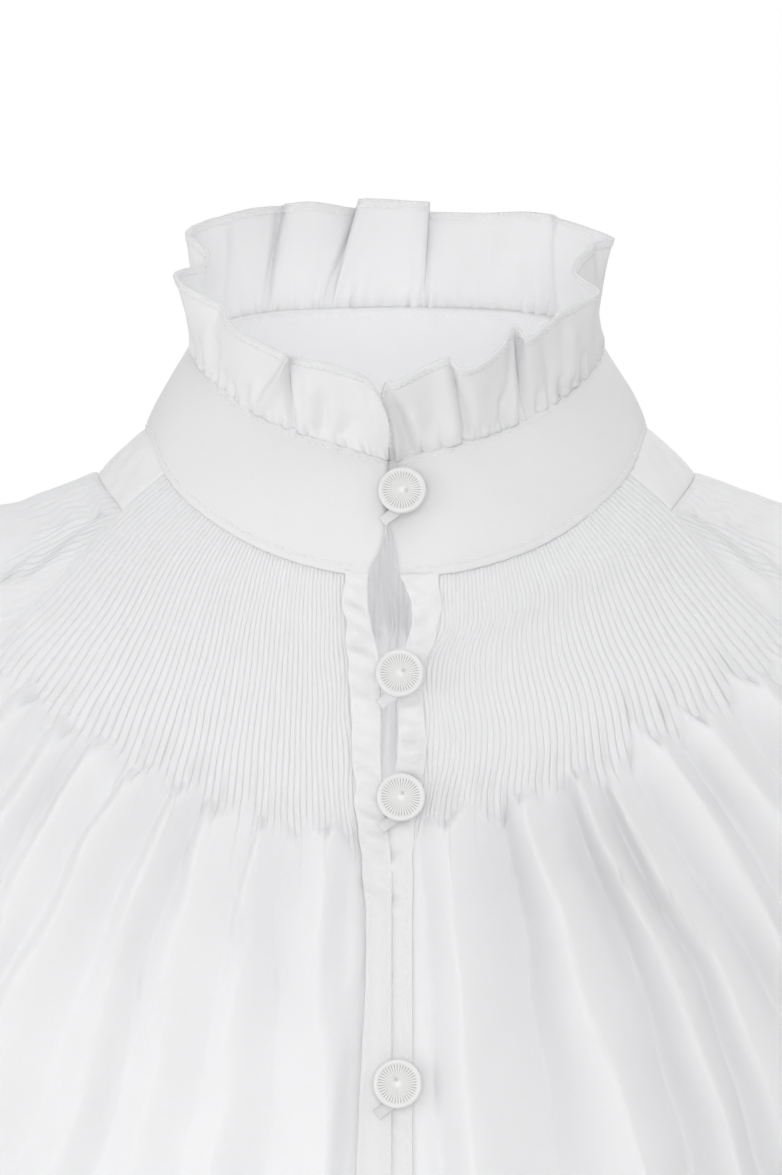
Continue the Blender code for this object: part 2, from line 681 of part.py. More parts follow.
def button(name, mesh, place, out):
    piece = add_object(name, mesh, button_material)
    turn = piece.modifiers.new("turn", "SCREW")
    turn.steps = 24
    turn.render_steps = 24
    turn.use_merge_vertices = True
    turn.merge_threshold = 0.00005
    turn.use_smooth_shade = True
    face = Vector(out)
    across = Vector((1, 0, 0))
    up = face.cross(across).normalized()
    across = up.cross(face).normalized()
    rotation = Matrix((across, up, face)).transposed().to_4x4()
    piece.matrix_world = Matrix.Translation(Vector(place) * MM) @ rotation
    return piece


# Button loops: flat tape from the left edge, round the shank and back
def tape_loop(name, place, out):
    face = unit(np.array(out, float))
    across = unit(np.array([1.0, 0, 0]) - face * face[0])
    up = np.cross(face, across)
    slope = math.radians(LOOP_SLOPE)
    turn = np.linspace(slope - math.pi / 2, slope + math.pi / 2, 12)
    bend = LOOP_RADIUS * np.stack([np.cos(turn), np.sin(turn)], -1)
    legs = [bend[end] - np.array([1, math.tan(slope)]) * (bend[end][0] + LOOP_REACH) for end in (0, -1)]
    path = np.concatenate([legs[:1], bend, legs[1:]])
    tangent = unit(np.gradient(path, axis=0))
    aside = np.stack([tangent[:, 1], -tangent[:, 0]], -1) * TAPE_WIDTH / 2
    rows = []
    for share in (-1, 1):
        flat = path + aside * share
        rows.append(np.array(place) + flat[:, :1] * across + flat[:, 1:] * up)
    cloth(name, np.array(rows), wall=TAPE_WALL)


button_material = make_material("button_white", BUTTON_COLOUR, 0.35)
fastenings = []
for x, run in zip(BUTTON_X, BUTTON_RUNS):
    run = np.array([run])
    u = FRONT_RIGHT.place_of_x(np.array([x]), run)[:, None]
    seat = FRONT_RIGHT.points(u, run, np.zeros((1, 1)))[0, 0]
    face = FRONT_RIGHT.normals(u, run)[0, 0]
    fastenings.append((seat, face))
band_angle = math.degrees(math.asin(BAND_BUTTON[0] / NECK_HALF_WIDTH))
seat = neck_point(band_angle, BAND_BUTTON[1])
sideways = neck_point(band_angle + 2, BAND_BUTTON[1]) - neck_point(band_angle - 2, BAND_BUTTON[1])
upward = neck_point(band_angle, BAND_BUTTON[1] + 0.05) - neck_point(band_angle, BAND_BUTTON[1] - 0.05)
fastenings.insert(0, (seat, unit(np.cross(sideways, upward))))
for number, (seat, face) in enumerate(fastenings, 1):
    button(f"button_{number}", button_mesh(), seat + face * BUTTON_LIFT, face)
    tape_loop(f"loop_{number}", seat + face * (LAYER_STEP / 2 + WALL / 2 + 0.3 + TAPE_WALL / 2), face)
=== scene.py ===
"""White dirndl blouse with a ruffled stand-up neckband, pin-tucked yoke and puffed raglan sleeves.

Tables and named sizes of the blouse are in millimetres, and MM turns them into Blender's metres. The
studio and the flat sizes of the sheets are in metres. The blouse faces -Y.
"""

import math

import bpy
import numpy as np
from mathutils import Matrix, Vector


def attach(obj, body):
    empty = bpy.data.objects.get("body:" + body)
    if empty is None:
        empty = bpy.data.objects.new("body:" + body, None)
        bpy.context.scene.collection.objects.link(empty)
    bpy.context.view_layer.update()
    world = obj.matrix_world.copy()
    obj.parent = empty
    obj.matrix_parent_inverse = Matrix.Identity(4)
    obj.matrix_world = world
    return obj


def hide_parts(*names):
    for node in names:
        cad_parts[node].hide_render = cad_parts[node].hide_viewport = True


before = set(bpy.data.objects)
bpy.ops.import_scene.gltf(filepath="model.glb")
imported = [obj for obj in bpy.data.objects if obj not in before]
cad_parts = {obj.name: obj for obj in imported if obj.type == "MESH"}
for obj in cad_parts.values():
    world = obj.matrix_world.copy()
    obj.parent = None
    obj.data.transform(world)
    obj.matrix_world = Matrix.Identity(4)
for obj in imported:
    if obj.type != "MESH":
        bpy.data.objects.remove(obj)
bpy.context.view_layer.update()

MM = 0.001

# Studio: a pale round floor below the hanging blouse, large soft lamps in front and above, and a long
# lens looking a little down on the neck.
FLOOR_HEIGHT = -0.72
FLOOR_RADIUS = 1.9
CAMERA_TARGET = Vector((-0.0017, -0.062, -0.0385))
CAMERA_DISTANCE = 1.8
CAMERA_TILT = math.radians(8)
CAMERA_LENS = 190
CAMERA_SENSOR = 36
LAMPS = (
    # name, place, size, power, all aimed at the yoke
    ("lamp_front", (-0.05, -2.3, 0.45), 1.6, 19.0),
    ("lamp_left", (-1.9, -0.85, 0.05), 1.6, 10.3),
    ("lamp_right", (1.5, -0.5, 1.5), 1.5, 7.5),
    ("lamp_top", (0.0, -0.5, 2.3), 1.6, 6.0),
    ("lamp_back", (0.3, 1.9, 1.2), 1.8, 17.0),
)
INNER_LAMPS = (
    # place, radius, power of the soft lamps that hang in the hollow
    ((0, 0, 0.0), 0.03, 0.032),
    ((-0.02, 0, -0.31), 0.06, 0.55),
    ((-0.24, 0, -0.17), 0.03, 0.15),
    ((0.24, 0, -0.17), 0.03, 0.15),
)
LAMP_AIM = (0, -0.03, -0.1)
WORLD_LIGHT = 0.55


class Signal:
    """A number that varies over a surface. Arithmetic on it adds Math nodes to its material."""

    def __init__(self, finish, socket):
        self.finish, self.socket = finish, socket

    def math(self, operation, other):
        return self.finish.node("ShaderNodeMath", {"operation": operation}, (self, other))

    def __add__(self, other):
        return self.math("ADD", other)

    def __sub__(self, other):
        return self.math("SUBTRACT", other)

    def __rsub__(self, other):
        return self.finish.node("ShaderNodeMath", {"operation": "SUBTRACT"}, (other, self))

    def __mul__(self, other):
        return self.math("MULTIPLY", other)

    __radd__, __rmul__ = __add__, __mul__


class Finish:
    """A material being mixed. Every node in it comes from node()."""

    def __init__(self, owner):
        owner.use_nodes = True
        self.owner, self.tree = owner, owner.node_tree
        self.tree.nodes.clear()

    def node(self, kind, settings=None, sockets=(), output=0):
        """sockets is a tuple of values in order, or a dict by socket name; a value may be a Signal."""
        made = self.tree.nodes.new(kind)
        for name, value in (settings or {}).items():
            setattr(made, name, value)
        usable = [socket for socket in made.inputs if socket.enabled]
        named = sockets.items() if isinstance(sockets, dict) else enumerate(sockets)
        for key, value in named:
            socket = usable[key] if isinstance(key, int) else next(s for s in usable if s.name == key)
            if isinstance(value, Signal):
                self.tree.links.new(value.socket, socket)
            else:
                socket.default_value = value
        shown = [socket for socket in made.outputs if socket.enabled]
        return Signal(self, shown[output]) if shown else None

    def surface(self, shader):
        in_world = isinstance(self.owner, bpy.types.World)
        kind = "ShaderNodeOutputWorld" if in_world else "ShaderNodeOutputMaterial"
        self.node(kind, None, {"Surface": shader})
        return self.owner


def seen_directly(finish):
    """1 where a ray comes from the camera or a clear reflection, 0 where it only lights something."""
    rays = [finish.node("ShaderNodeLightPath", None, (), output) for output in (0, 3, 6)]
    return (rays[0] + rays[1] + rays[2]).math("MINIMUM", 1.0)


def aim(piece, place, target):
    piece.location = place
    piece.rotation_euler = (Vector(target) - Vector(place)).to_track_quat("-Z", "Y").to_euler()


scene = bpy.context.scene
scene.view_settings.view_transform = "Standard"

camera_data = bpy.data.cameras.new("camera")
camera_data.lens = CAMERA_LENS
camera_data.sensor_width = CAMERA_SENSOR
camera = bpy.data.objects.new("camera", camera_data)
scene.collection.objects.link(camera)
to_camera = Vector((0, -math.cos(CAMERA_TILT), math.sin(CAMERA_TILT)))
aim(camera, CAMERA_TARGET + to_camera * CAMERA_DISTANCE, CAMERA_TARGET)
scene.camera = camera


def hang_lamp(name, kind, power, place):
    lamp = bpy.data.objects.new(name, bpy.data.lights.new(name, kind))
    lamp.data.energy = power
    lamp.location = place
    lamp.visible_camera = False
    scene.collection.objects.link(lamp)
    return lamp


for name, place, size, power in LAMPS:
    lamp = hang_lamp(name, "AREA", power, place)
    lamp.data.shape = "DISK"
    lamp.data.size = size
    aim(lamp, place, LAMP_AIM)
for place, radius, power in INNER_LAMPS:
    hang_lamp("lamp_inner", "POINT", power, place).data.shadow_soft_size = radius

world = Finish(bpy.data.worlds.new("studio"))
scene.world = world.owner
soft = world.node("ShaderNodeBackground", None, {"Color": (1, 1, 1, 1), "Strength": WORLD_LIGHT})
white = world.node("ShaderNodeBackground", None, {"Color": (1, 1, 1, 1), "Strength": 1.0})
world.surface(world.node("ShaderNodeMixShader", None, (seen_directly(world), soft, white)))

floor_mesh = bpy.data.meshes.new("floor")
rim = np.linspace(0, 2 * np.pi, 96, endpoint=False)
floor_edge = [(FLOOR_RADIUS * math.cos(a), FLOOR_RADIUS * math.sin(a), FLOOR_HEIGHT) for a in rim]
floor_mesh.from_pydata(floor_edge, [], [list(range(len(rim)))])
floor = bpy.data.objects.new("floor", floor_mesh)
scene.collection.objects.link(floor)
paint = Finish(bpy.data.materials.new("floor_paint"))
mottle = paint.node("ShaderNodeTexNoise", None, {"Scale": 3.0, "Detail": 2.0})
pale = paint.node("ShaderNodeMix", {"data_type": "RGBA"},
                  {"Factor": mottle, "A": (0.90, 0.90, 0.90, 1), "B": (0.93, 0.93, 0.93, 1)})
floor_mesh.materials.append(paint.surface(paint.node("ShaderNodeBsdfPrincipled", None,
                                                     {"Base Color": pale, "Roughness": 0.9})))


# Fronts: two panels of white cotton cambric. Each is pressed into fine tucks that fan out from the neck
# seam, and springs out below them in soft folds down to a narrow turned hem. The raglan seam pulls the
# tucks' ends in.
SHELL = 0.45            # the cloth's own thickness
NECK_HALF_WIDTH = 73.5
NECK_HALF_DEPTH = 63.0
NECK_CENTRE_Y = 1.0
TOP_HALF_WIDTH = 60.5
TOP_HALF_DEPTH = 52.0
TOP_CENTRE_Y = 3.5
BAND_BULGE = 1.0
STRAP_FRONT_ANGLE = 66.0
STRAP_BACK_ANGLE = 114.0
HEM_RUN = 455.0         # runs are measured down the cloth from the neck seam
UNDERARM_RUN = 225.0
FULL_RUN = 175.0        # at the bust, where the folds lie as their tables say
NECK_HEIGHTS = (
    # angle from the centre front, base, top
    (0, -35.0, -3.4), (15, -33.0, 1.2), (30, -28.4, 5.2), (45, -21.5, 10.2), (60, -12.8, 16.2),
    (80, -0.5, 22.8), (100, 1.0, 27.0), (130, -3.0, 30.5), (180, -6.0, 31.5),
)
FRONT_SECTIONS = (
    # run from the neck seam, centre y, centre z, sweep of the arc, crowding of the tucks towards the centre
    (0, -62.0, -35.0, 66, 1.00),
    (18, -67.5, -52.2, 67, 1.15),
    (45, -78.0, -77.0, 68, 1.30),
    (74, -88.5, -104.0, 70, 1.40),
    (110, -101.0, -137.8, 76, 1.38),
    (150, -113.0, -176.0, 82, 1.34),
    (190, -121.5, -215.0, 87, 1.30),
    (225, -125.0, -250.0, 90, 1.28),
    (300, -125.5, -325.0, 90, 1.22),
    (380, -123.0, -395.0, 90, 1.18),
    (455, -121.0, -462.0, 90, 1.15),
)
FRONT_EDGE = (
    # run, x, y, z of the strap seam, then the raglan seam to the underarm, then the side seam
    (18, 81.0, -27.0, -20.6),
    (45, 100.0, -37.0, -40.5),
    (74, 119.0, -46.0, -58.5),
    (110, 141.0, -51.0, -90.0),
    (150, 157.5, -46.0, -130.0),
    (190, 167.0, -28.0, -167.0),
    (225, 171.0, 3.0, -190.0),
    (300, 172.0, 4.0, -285.0),
    (380, 180.0, 4.0, -380.0),
    (455, 188.0, 4.0, -462.0),
)
LEFT_PLACKET = (
    # run, seam x, free edge x of the strip on the front edge
    (0, 15.1, 8.1), (6, 15.3, 8.5), (14, 15.0, 7.7), (24, 14.4, 5.3), (38, 13.4, 4.7), (58, 12.6, 4.5),
    (70, 11.8, 3.4), (84, 10.3, 1.6), (100, 8.9, 1.5), (120, 9.0, 1.5), (150, 10.6, 1.5), (455, 10.6, 1.5),
)
RIGHT_PLACKET = (
    (0, 12.5, 0.9), (8, 12.4, 4.1), (19, 11.6, 3.2), (24, 9.0, 1.1), (34, 7.4, 0.4), (50, 8.4, 0.3),
    (58, 7.8, -0.5), (70, 5.6, -5.0), (84, 4.7, -8.0), (100, 4.5, -8.5), (120, 4.5, -8.5), (455, 4.5, -8.5),
)
LEFT_FOLDS = (
    # place where the tucks end, place at the bust, height there
    (0.165, 0.112, 0.2), (0.225, 0.150, 4.2), (0.302, 0.240, -2.4), (0.364, 0.305, 2.2),
    (0.374, 0.345, -0.6), (0.459, 0.405, 2.9), (0.480, 0.450, -1.6), (0.524, 0.492, 2.8),
    (0.542, 0.540, -1.4), (0.604, 0.620, 3.6), (0.624, 0.648, -0.6), (0.684, 0.670, 2.6),
    (0.705, 0.700, -1.4), (0.745, 0.745, 3.2), (0.785, 0.785, -2.0), (0.835, 0.835, 3.4),
    (0.885, 0.885, -1.6), (0.935, 0.935, 2.4),
)
RIGHT_FOLDS = (
    (0.105, 0.105, -1.0), (0.180, 0.155, 6.8), (0.315, 0.285, -5.0), (0.350, 0.372, 6.6),
    (0.452, 0.448, -4.2), (0.466, 0.490, 4.4), (0.511, 0.528, -2.0), (0.520, 0.556, 3.4),
    (0.570, 0.622, -3.6), (0.628, 0.655, 3.6), (0.665, 0.695, -2.4), (0.715, 0.745, 4.4),
    (0.780, 0.800, -3.0), (0.840, 0.850, 4.2), (0.890, 0.900, -2.0), (0.940, 0.940, 2.6),
)
FOLD_SWAY = 0.005       # how far a fold line strays from its course
FOLD_ROUNDING = 0.5     # 0 for sharp creases between flat faces, 1 for round waves
HEM_GROWTH = 0.4        # how much deeper the folds are at the hem than at the bust, as a share
FOLD_SHAPES = {
    # depth, and how much of it shows just under the tucks, a little lower, and at the bust
    "left": (1.6, 0.75, 0.25, -0.3), "right": (1.5, 0.65, 0.25, 0.10), "back": (1.35, 0.42, 0.25, 0.33),
}
BILLOW = 2.2            # how far the cloth springs out below the tucks
FRONT_TUCKS = 55
TUCK_STEEPNESS = {"left": 0.25, "right": 0.25, "back": 0.4}     # a tuck's height as a share of its width
WIDEST_TUCK = 2.4       # tucks that are wider than this are no taller
TUCK_PROFILE = (
    # place across one tuck from its stitched groove to the next, share of its height, how far it leans over
    (0.00, 0.00, 0.00), (0.11, 0.82, 0.25), (0.24, 1.00, 0.50),
    (0.50, 0.85, 0.80), (0.76, 0.68, 1.00), (0.91, 0.45, 0.75),
)
OUTER_SPREAD = 0.12     # how much wider the tucks lie towards the raglan seam
TUCK_STRAY = 0.22       # how far a tuck strays sideways, in tucks
LEFT_TUCK_RUN = 79.0
RIGHT_TUCK_RUN = 73.0
TUCK_END_WANDER = 2.0   # how far the line of the tucks' ends strays
TUCK_END_SCATTER = 1.3  # how far one tuck ends before or after its neighbours
POP_LENGTH = 5.0        # a tuck opens out over this length below its last stitch
RIDGE_HEIGHT = 0.38     # the fine ridges that run on below the tucks
HEAD_ROUND = 3.2        # a shaded face of a fold starts this much sooner in its middle than at its sides
CREST_REACH = 8.0       # a lit face runs up between the tucks to a point this much higher
WIDE_FACE = 7.0         # faces that are narrower than this have smaller heads
HEM_TURN = 10.0
HEM_ROWS = 4            # rows of the mesh in the turned hem
SEAM_WIDTH = 130.0      # from the centre front to the raglan seam, about
SEAM_PULL = 4.0         # the cloth comes down to the raglan seam over this distance
SEAM_PUCKER = 0.4
PLACKET_LAP = 1.2       # the front's edge lies this far under its placket


def flow(knots, values, at):
    """Smooth curve through a table's values, read at one or many places."""
    knots = np.asarray(knots, float)
    values = np.asarray(values, float)
    at = np.clip(np.asarray(at, float), knots[0], knots[-1])
    slopes = np.gradient(values, knots, axis=0)
    i = np.clip(np.searchsorted(knots, at, side="right") - 1, 0, len(knots) - 2)
    width = knots[i + 1] - knots[i]
    t = (at - knots[i]) / width
    if values.ndim > 1:
        t = t[..., None]
        width = width[..., None]
    return ((2 * t**3 - 3 * t**2 + 1) * values[i] + (t**3 - 2 * t**2 + t) * width * slopes[i]
            + (3 * t**2 - 2 * t**3) * values[i + 1] + (t**3 - t**2) * width * slopes[i + 1])


def ease(value, start, end):
    """0 before start, 1 after end, and a soft step between."""
    t = np.clip((np.asarray(value, float) - start) / (end - start), 0, 1)
    return t * t * (3 - 2 * t)


def unit(vectors):
    return vectors / np.maximum(np.linalg.norm(vectors, axis=-1, keepdims=True), 1e-12)


def crumple(seed, *scaled):
    """Soft uneven wander between about -1 and 1 at places already divided by the size of its bumps."""
    draw = np.random.default_rng(seed)
    total = 0
    for _ in range(7):
        turns = draw.uniform(0.55, 1.6, len(scaled)) * draw.choice((-1, 1), len(scaled))
        total = total + np.sin(sum(turn * place for turn, place in zip(turns, scaled)) * math.pi
                               + draw.uniform(0, 2 * math.pi))
    return total / 2.6


def neck_point(angle, level):
    """Point on the neckband: angle in degrees from the centre front, level 0 at the base and 1 at the top."""
    angle, level = np.broadcast_arrays(np.asarray(angle, float), np.asarray(level, float))
    table = np.array(NECK_HEIGHTS, float)
    heights = flow(table[:, 0], table[:, 1:], np.abs((angle + 180) % 360 - 180))
    a = np.radians(angle)
    bulge = BAND_BULGE * 4 * level * (1 - level)
    half_width = NECK_HALF_WIDTH + (TOP_HALF_WIDTH - NECK_HALF_WIDTH) * level + bulge
    half_depth = NECK_HALF_DEPTH + (TOP_HALF_DEPTH - NECK_HALF_DEPTH) * level + bulge
    centre_y = NECK_CENTRE_Y + (TOP_CENTRE_Y - NECK_CENTRE_Y) * level
    return np.stack([half_width * np.sin(a), centre_y - half_depth * np.cos(a),
                     heights[..., 0] * (1 - level) + heights[..., 1] * level], -1)


def body_edge(edge, neck_angle, run):
    """Outer seam of a front or of the back at a run from the neck seam."""
    table = np.array([[0.0, *neck_point(neck_angle, 0.0)], *edge], float)
    corner = int(np.searchsorted(table[:, 0], UNDERARM_RUN))
    run = np.asarray(run, float)
    raglan = flow(table[:corner + 1, 0], table[:corner + 1, 1:], run)
    side_seam = flow(table[corner:, 0], table[corner:, 1:], run)
    return np.where(run[..., None] < UNDERARM_RUN, raglan, side_seam)


class BodyForm:
    """The smooth form that half a front or back lies on, with places u across and runs down."""

    def __init__(self, side, sections, edge, neck_angle, away):
        self.side, self.edge, self.neck_angle, self.away = side, edge, neck_angle, away
        self.table = np.array(sections, float)

    def plain(self, u, run):
        edges = body_edge(self.edge, self.neck_angle, self.table[:, 0])
        rows = []
        for (_, centre_y, centre_z, sweep, crowding), (edge_x, edge_y, edge_z) in zip(self.table, edges):
            full = math.radians(sweep)
            turn = full * np.sign(u) * np.abs(u)**crowding
            side = np.sin(turn) / math.sin(full)
            depth = (1 - np.cos(turn)) / (1 - math.cos(full))
            rows.append(np.stack([edge_x * side, centre_y + (edge_y - centre_y) * depth,
                                  centre_z + (edge_z - centre_z) * np.abs(side)**1.7], -1))
        rows[0] = neck_point(self.away + (self.neck_angle - self.away) * u, 0.0)
        weights = flow(self.table[:, 0], np.eye(len(self.table)), run)
        points = np.einsum("vk,kvuc->vuc", weights, np.array(rows))
        to_seam = body_edge(self.edge, self.neck_angle, run) - weights @ edges
        return points + to_seam[:, None] * np.abs(u[..., None])**8

    def normals(self, u, run):
        across = self.plain(u, run) - self.plain(u - 0.002, run)
        along = self.plain(u, run + 0.5) - self.plain(u, run - 0.5)
        return unit(np.cross(across, along)) * (1 if self.away else -1)

    def points(self, u, run, lift):
        u, lift = np.broadcast_arrays(u, lift)
        return (self.plain(u, run) + self.normals(u, run) * lift[..., None]) * (self.side, 1, 1)

    def place_of_x(self, x, run):
        """Place u of a distance x from the centre line near it, for each run."""
        probe = np.broadcast_to(np.linspace(-0.35, 0.35, 141), (len(run), 141))
        found = self.plain(probe, run)[..., 0]
        return np.array([np.interp(x_here, row, probe[0]) for x_here, row in zip(x, found)])


THREAD_PITCH = 0.42     # of the weave


def weave(name, tint, crease=1.0, weave_depth=1.0, see_through=0.32):
    """Plain woven cotton: round threads over and under, slubs, and faint pressing creases.

    see_through is the share of the light that passes.
    """
    finish = Finish(bpy.data.materials.new(name))
    flat = finish.node("ShaderNodeAttribute", {"attribute_name": "cut"}, (), 1)
    threads = []
    for turn, offset in ((0.0, 0.0), (math.pi / 2, 5.0)):
        along = finish.node("ShaderNodeMapping", None, {"Vector": flat, "Rotation": (0, 0, turn)})
        threads.append(finish.node("ShaderNodeTexWave", {"wave_profile": "SIN"}, {
            "Vector": along, "Scale": 1000 / 6.28 / THREAD_PITCH * 2, "Distortion": 1.2, "Detail": 1.0,
            "Detail Scale": 0.4, "Phase Offset": offset}, 1))
    cloth_threads = threads[0].math("MAXIMUM", threads[1])
    slub = finish.node("ShaderNodeTexNoise", None, {"Vector": flat, "Scale": 900.0, "Detail": 3.0})
    rumple = finish.node("ShaderNodeTexNoise", None, {
        "Vector": flat, "Scale": 55.0, "Detail": 3.0, "Roughness": 0.55})
    shade = finish.node("ShaderNodeMix", {"data_type": "RGBA"}, {
        "Factor": 0.55 * slub + 0.45 * cloth_threads,
        "A": (tint[0] * 0.955, tint[1] * 0.955, tint[2] * 0.96, 1), "B": (*tint, 1)})
    fine = finish.node("ShaderNodeBump", None, {
        "Strength": 0.35 * weave_depth, "Distance": 0.00012, "Height": cloth_threads + 0.6 * slub})
    bump = finish.node("ShaderNodeBump", None, {
        "Strength": 0.35 * crease, "Distance": 0.0012, "Height": rumple, "Normal": fine})
    lit = finish.node("ShaderNodeBsdfPrincipled", None, {
        "Base Color": shade, "Roughness": 0.82, "Sheen Weight": 0.12, "Sheen Roughness": 0.5,
        "Specular IOR Level": 0.25, "Normal": bump})
    through = finish.node("ShaderNodeBsdfTranslucent", None, {"Color": (*tint, 1)})
    return finish.surface(finish.node("ShaderNodeMixShader", None, (see_through, lit, through)))


CAMBRIC = weave("white_cambric", (0.885, 0.885, 0.89))


def join_grid(rows, columns, closed):
    """Faces between the points of a grid."""
    index = np.arange(rows * columns).reshape(rows, columns)
    if closed:
        index = np.concatenate([index, index[:, :1]], 1)
    corners = (index[:-1, :-1], index[:-1, 1:], index[1:, 1:], index[1:, :-1])
    return np.stack(corners, -1).reshape(-1, 4).tolist()


def add_mesh(name, points, faces, material, node=None):
    """A smooth mesh in its material, fixed to the blouse. node is the solid that it stands for."""
    mesh = bpy.data.meshes.new(name)
    mesh.from_pydata((np.asarray(points).reshape(-1, 3) * MM).tolist(), [], faces)
    mesh.materials.append(material)
    mesh.shade_smooth()
    piece = bpy.data.objects.new(name, mesh)
    scene.collection.objects.link(piece)
    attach(piece, "root")
    if node:
        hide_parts(node)
    return piece


def cloth(name, points, material, node, closed=False, shell=SHELL, turned=0):
    """A thin cloth shell through a grid of points: rows down, columns across, closed into a tube or open.

    The last rows can be a turned hem, as thick again.
    """
    rows, columns = points.shape[:2]
    piece = add_mesh(name, points, join_grid(rows, columns, closed), material, node)
    step = np.linalg.norm(np.diff(points, axis=1, prepend=points[:, :1]), axis=-1)
    drop = np.linalg.norm(np.diff(points, axis=0, prepend=points[:1]), axis=-1)
    cut = np.stack([np.cumsum(step, 1), np.cumsum(drop, 0), np.zeros(points.shape[:2])], -1) * MM
    layer = piece.data.attributes.new("cut", "FLOAT_VECTOR", "POINT")
    layer.data.foreach_set("vector", cut.astype(np.float32).ravel())
    wall = piece.modifiers.new("cloth", "SOLIDIFY")
    wall.thickness = shell * MM
    wall.offset = 0
    if turned:
        wall.thickness *= 2
        wall.thickness_vertex_group = 0.5
        hem = piece.vertex_groups.new(name="hem")
        hem.add(range((rows - turned) * columns, rows * columns), 1.0, "REPLACE")
        wall.vertex_group = "hem"
    return piece


def body_rows(tuck_run):
    """Runs of the rows: close together over the tucks and where they open, wider below."""
    stretches = ((0, tuck_run - 14, 28), (tuck_run - 13, tuck_run + 10, 28),
                 (tuck_run + 11.5, tuck_run + 26, 11), (tuck_run + 29, FULL_RUN + 40, 24),
                 (FULL_RUN + 48, HEM_RUN - 14, 18))
    hem = HEM_RUN - np.array([HEM_TURN + 0.6, HEM_TURN, 6.5, 2.5, 0])
    return np.concatenate([*(np.linspace(*stretch) for stretch in stretches), hem])


def tuck_columns(tucks, profile):
    """Shares across from the first tuck to the last, and each column's share of a tuck's height."""
    profile = np.array(profile)
    share = (np.arange(tucks)[:, None] + profile[:, 0]).ravel() / tucks
    return np.append(share, 1.0), np.vstack([np.tile(profile[:, 1:], (tucks, 1)), np.zeros((1, 2))]).T


def fold_wave(knots, heights, at):
    """Height between fold lines: nearly flat faces that meet in soft creases."""
    i = np.clip(np.searchsorted(knots, at, side="right") - 1, 0, len(knots) - 2)
    t = np.clip((at - knots[i]) / (knots[i + 1] - knots[i]), 0, 1)
    t = t + FOLD_ROUNDING * (t * t * (3 - 2 * t) - t)
    return heights[i] + (heights[i + 1] - heights[i]) * t


def fold_lifts(folds, u, run, tuck_run):
    """Height of the released folds at every place."""
    table = np.array(folds, float)
    lines = table[:, 0] + (table[:, 1] - table[:, 0]) * ease(run, tuck_run, FULL_RUN)[:, None]
    sway = FOLD_SWAY * crumple(len(table), run[:, None] / 30.0, table[:, 0] * 6)
    lines = lines + sway * ease(run, tuck_run, tuck_run + 40)[:, None]
    heights = np.concatenate([[0.0], table[:, 2], [0.0]])
    return np.array([fold_wave(np.array([min(places[0], row[0] - 0.03), *row, 1.0]), heights, places)
                     for places, row in zip(u, lines)])


def fold_heads(folds, side, place):
    """How much sooner the folds start at each place: shaded faces with round heads, lit ones with points."""
    table = np.array(folds, float)
    knots = np.concatenate([[0.0], table[:, 0], [1.0]])
    heights = np.concatenate([[0.0], table[:, 2], [0.0]])
    i = np.clip(np.searchsorted(knots, place, side="right") - 1, 0, len(knots) - 2)
    wide = np.maximum(knots[i + 1] - knots[i], 1e-6)
    off = np.clip(np.abs(2 * (place - knots[i]) / wide - 1), 0, 1)
    size = np.clip(wide * SEAM_WIDTH / WIDE_FACE, 0.3, 1)
    shaded = (heights[i + 1] - heights[i]) * side < 0
    point = CREST_REACH * size * (1 - off) * ease(place, 0.12, 0.30)    # none beside the placket
    return np.where(shaded, HEAD_ROUND * size * (1 - off**3), point)


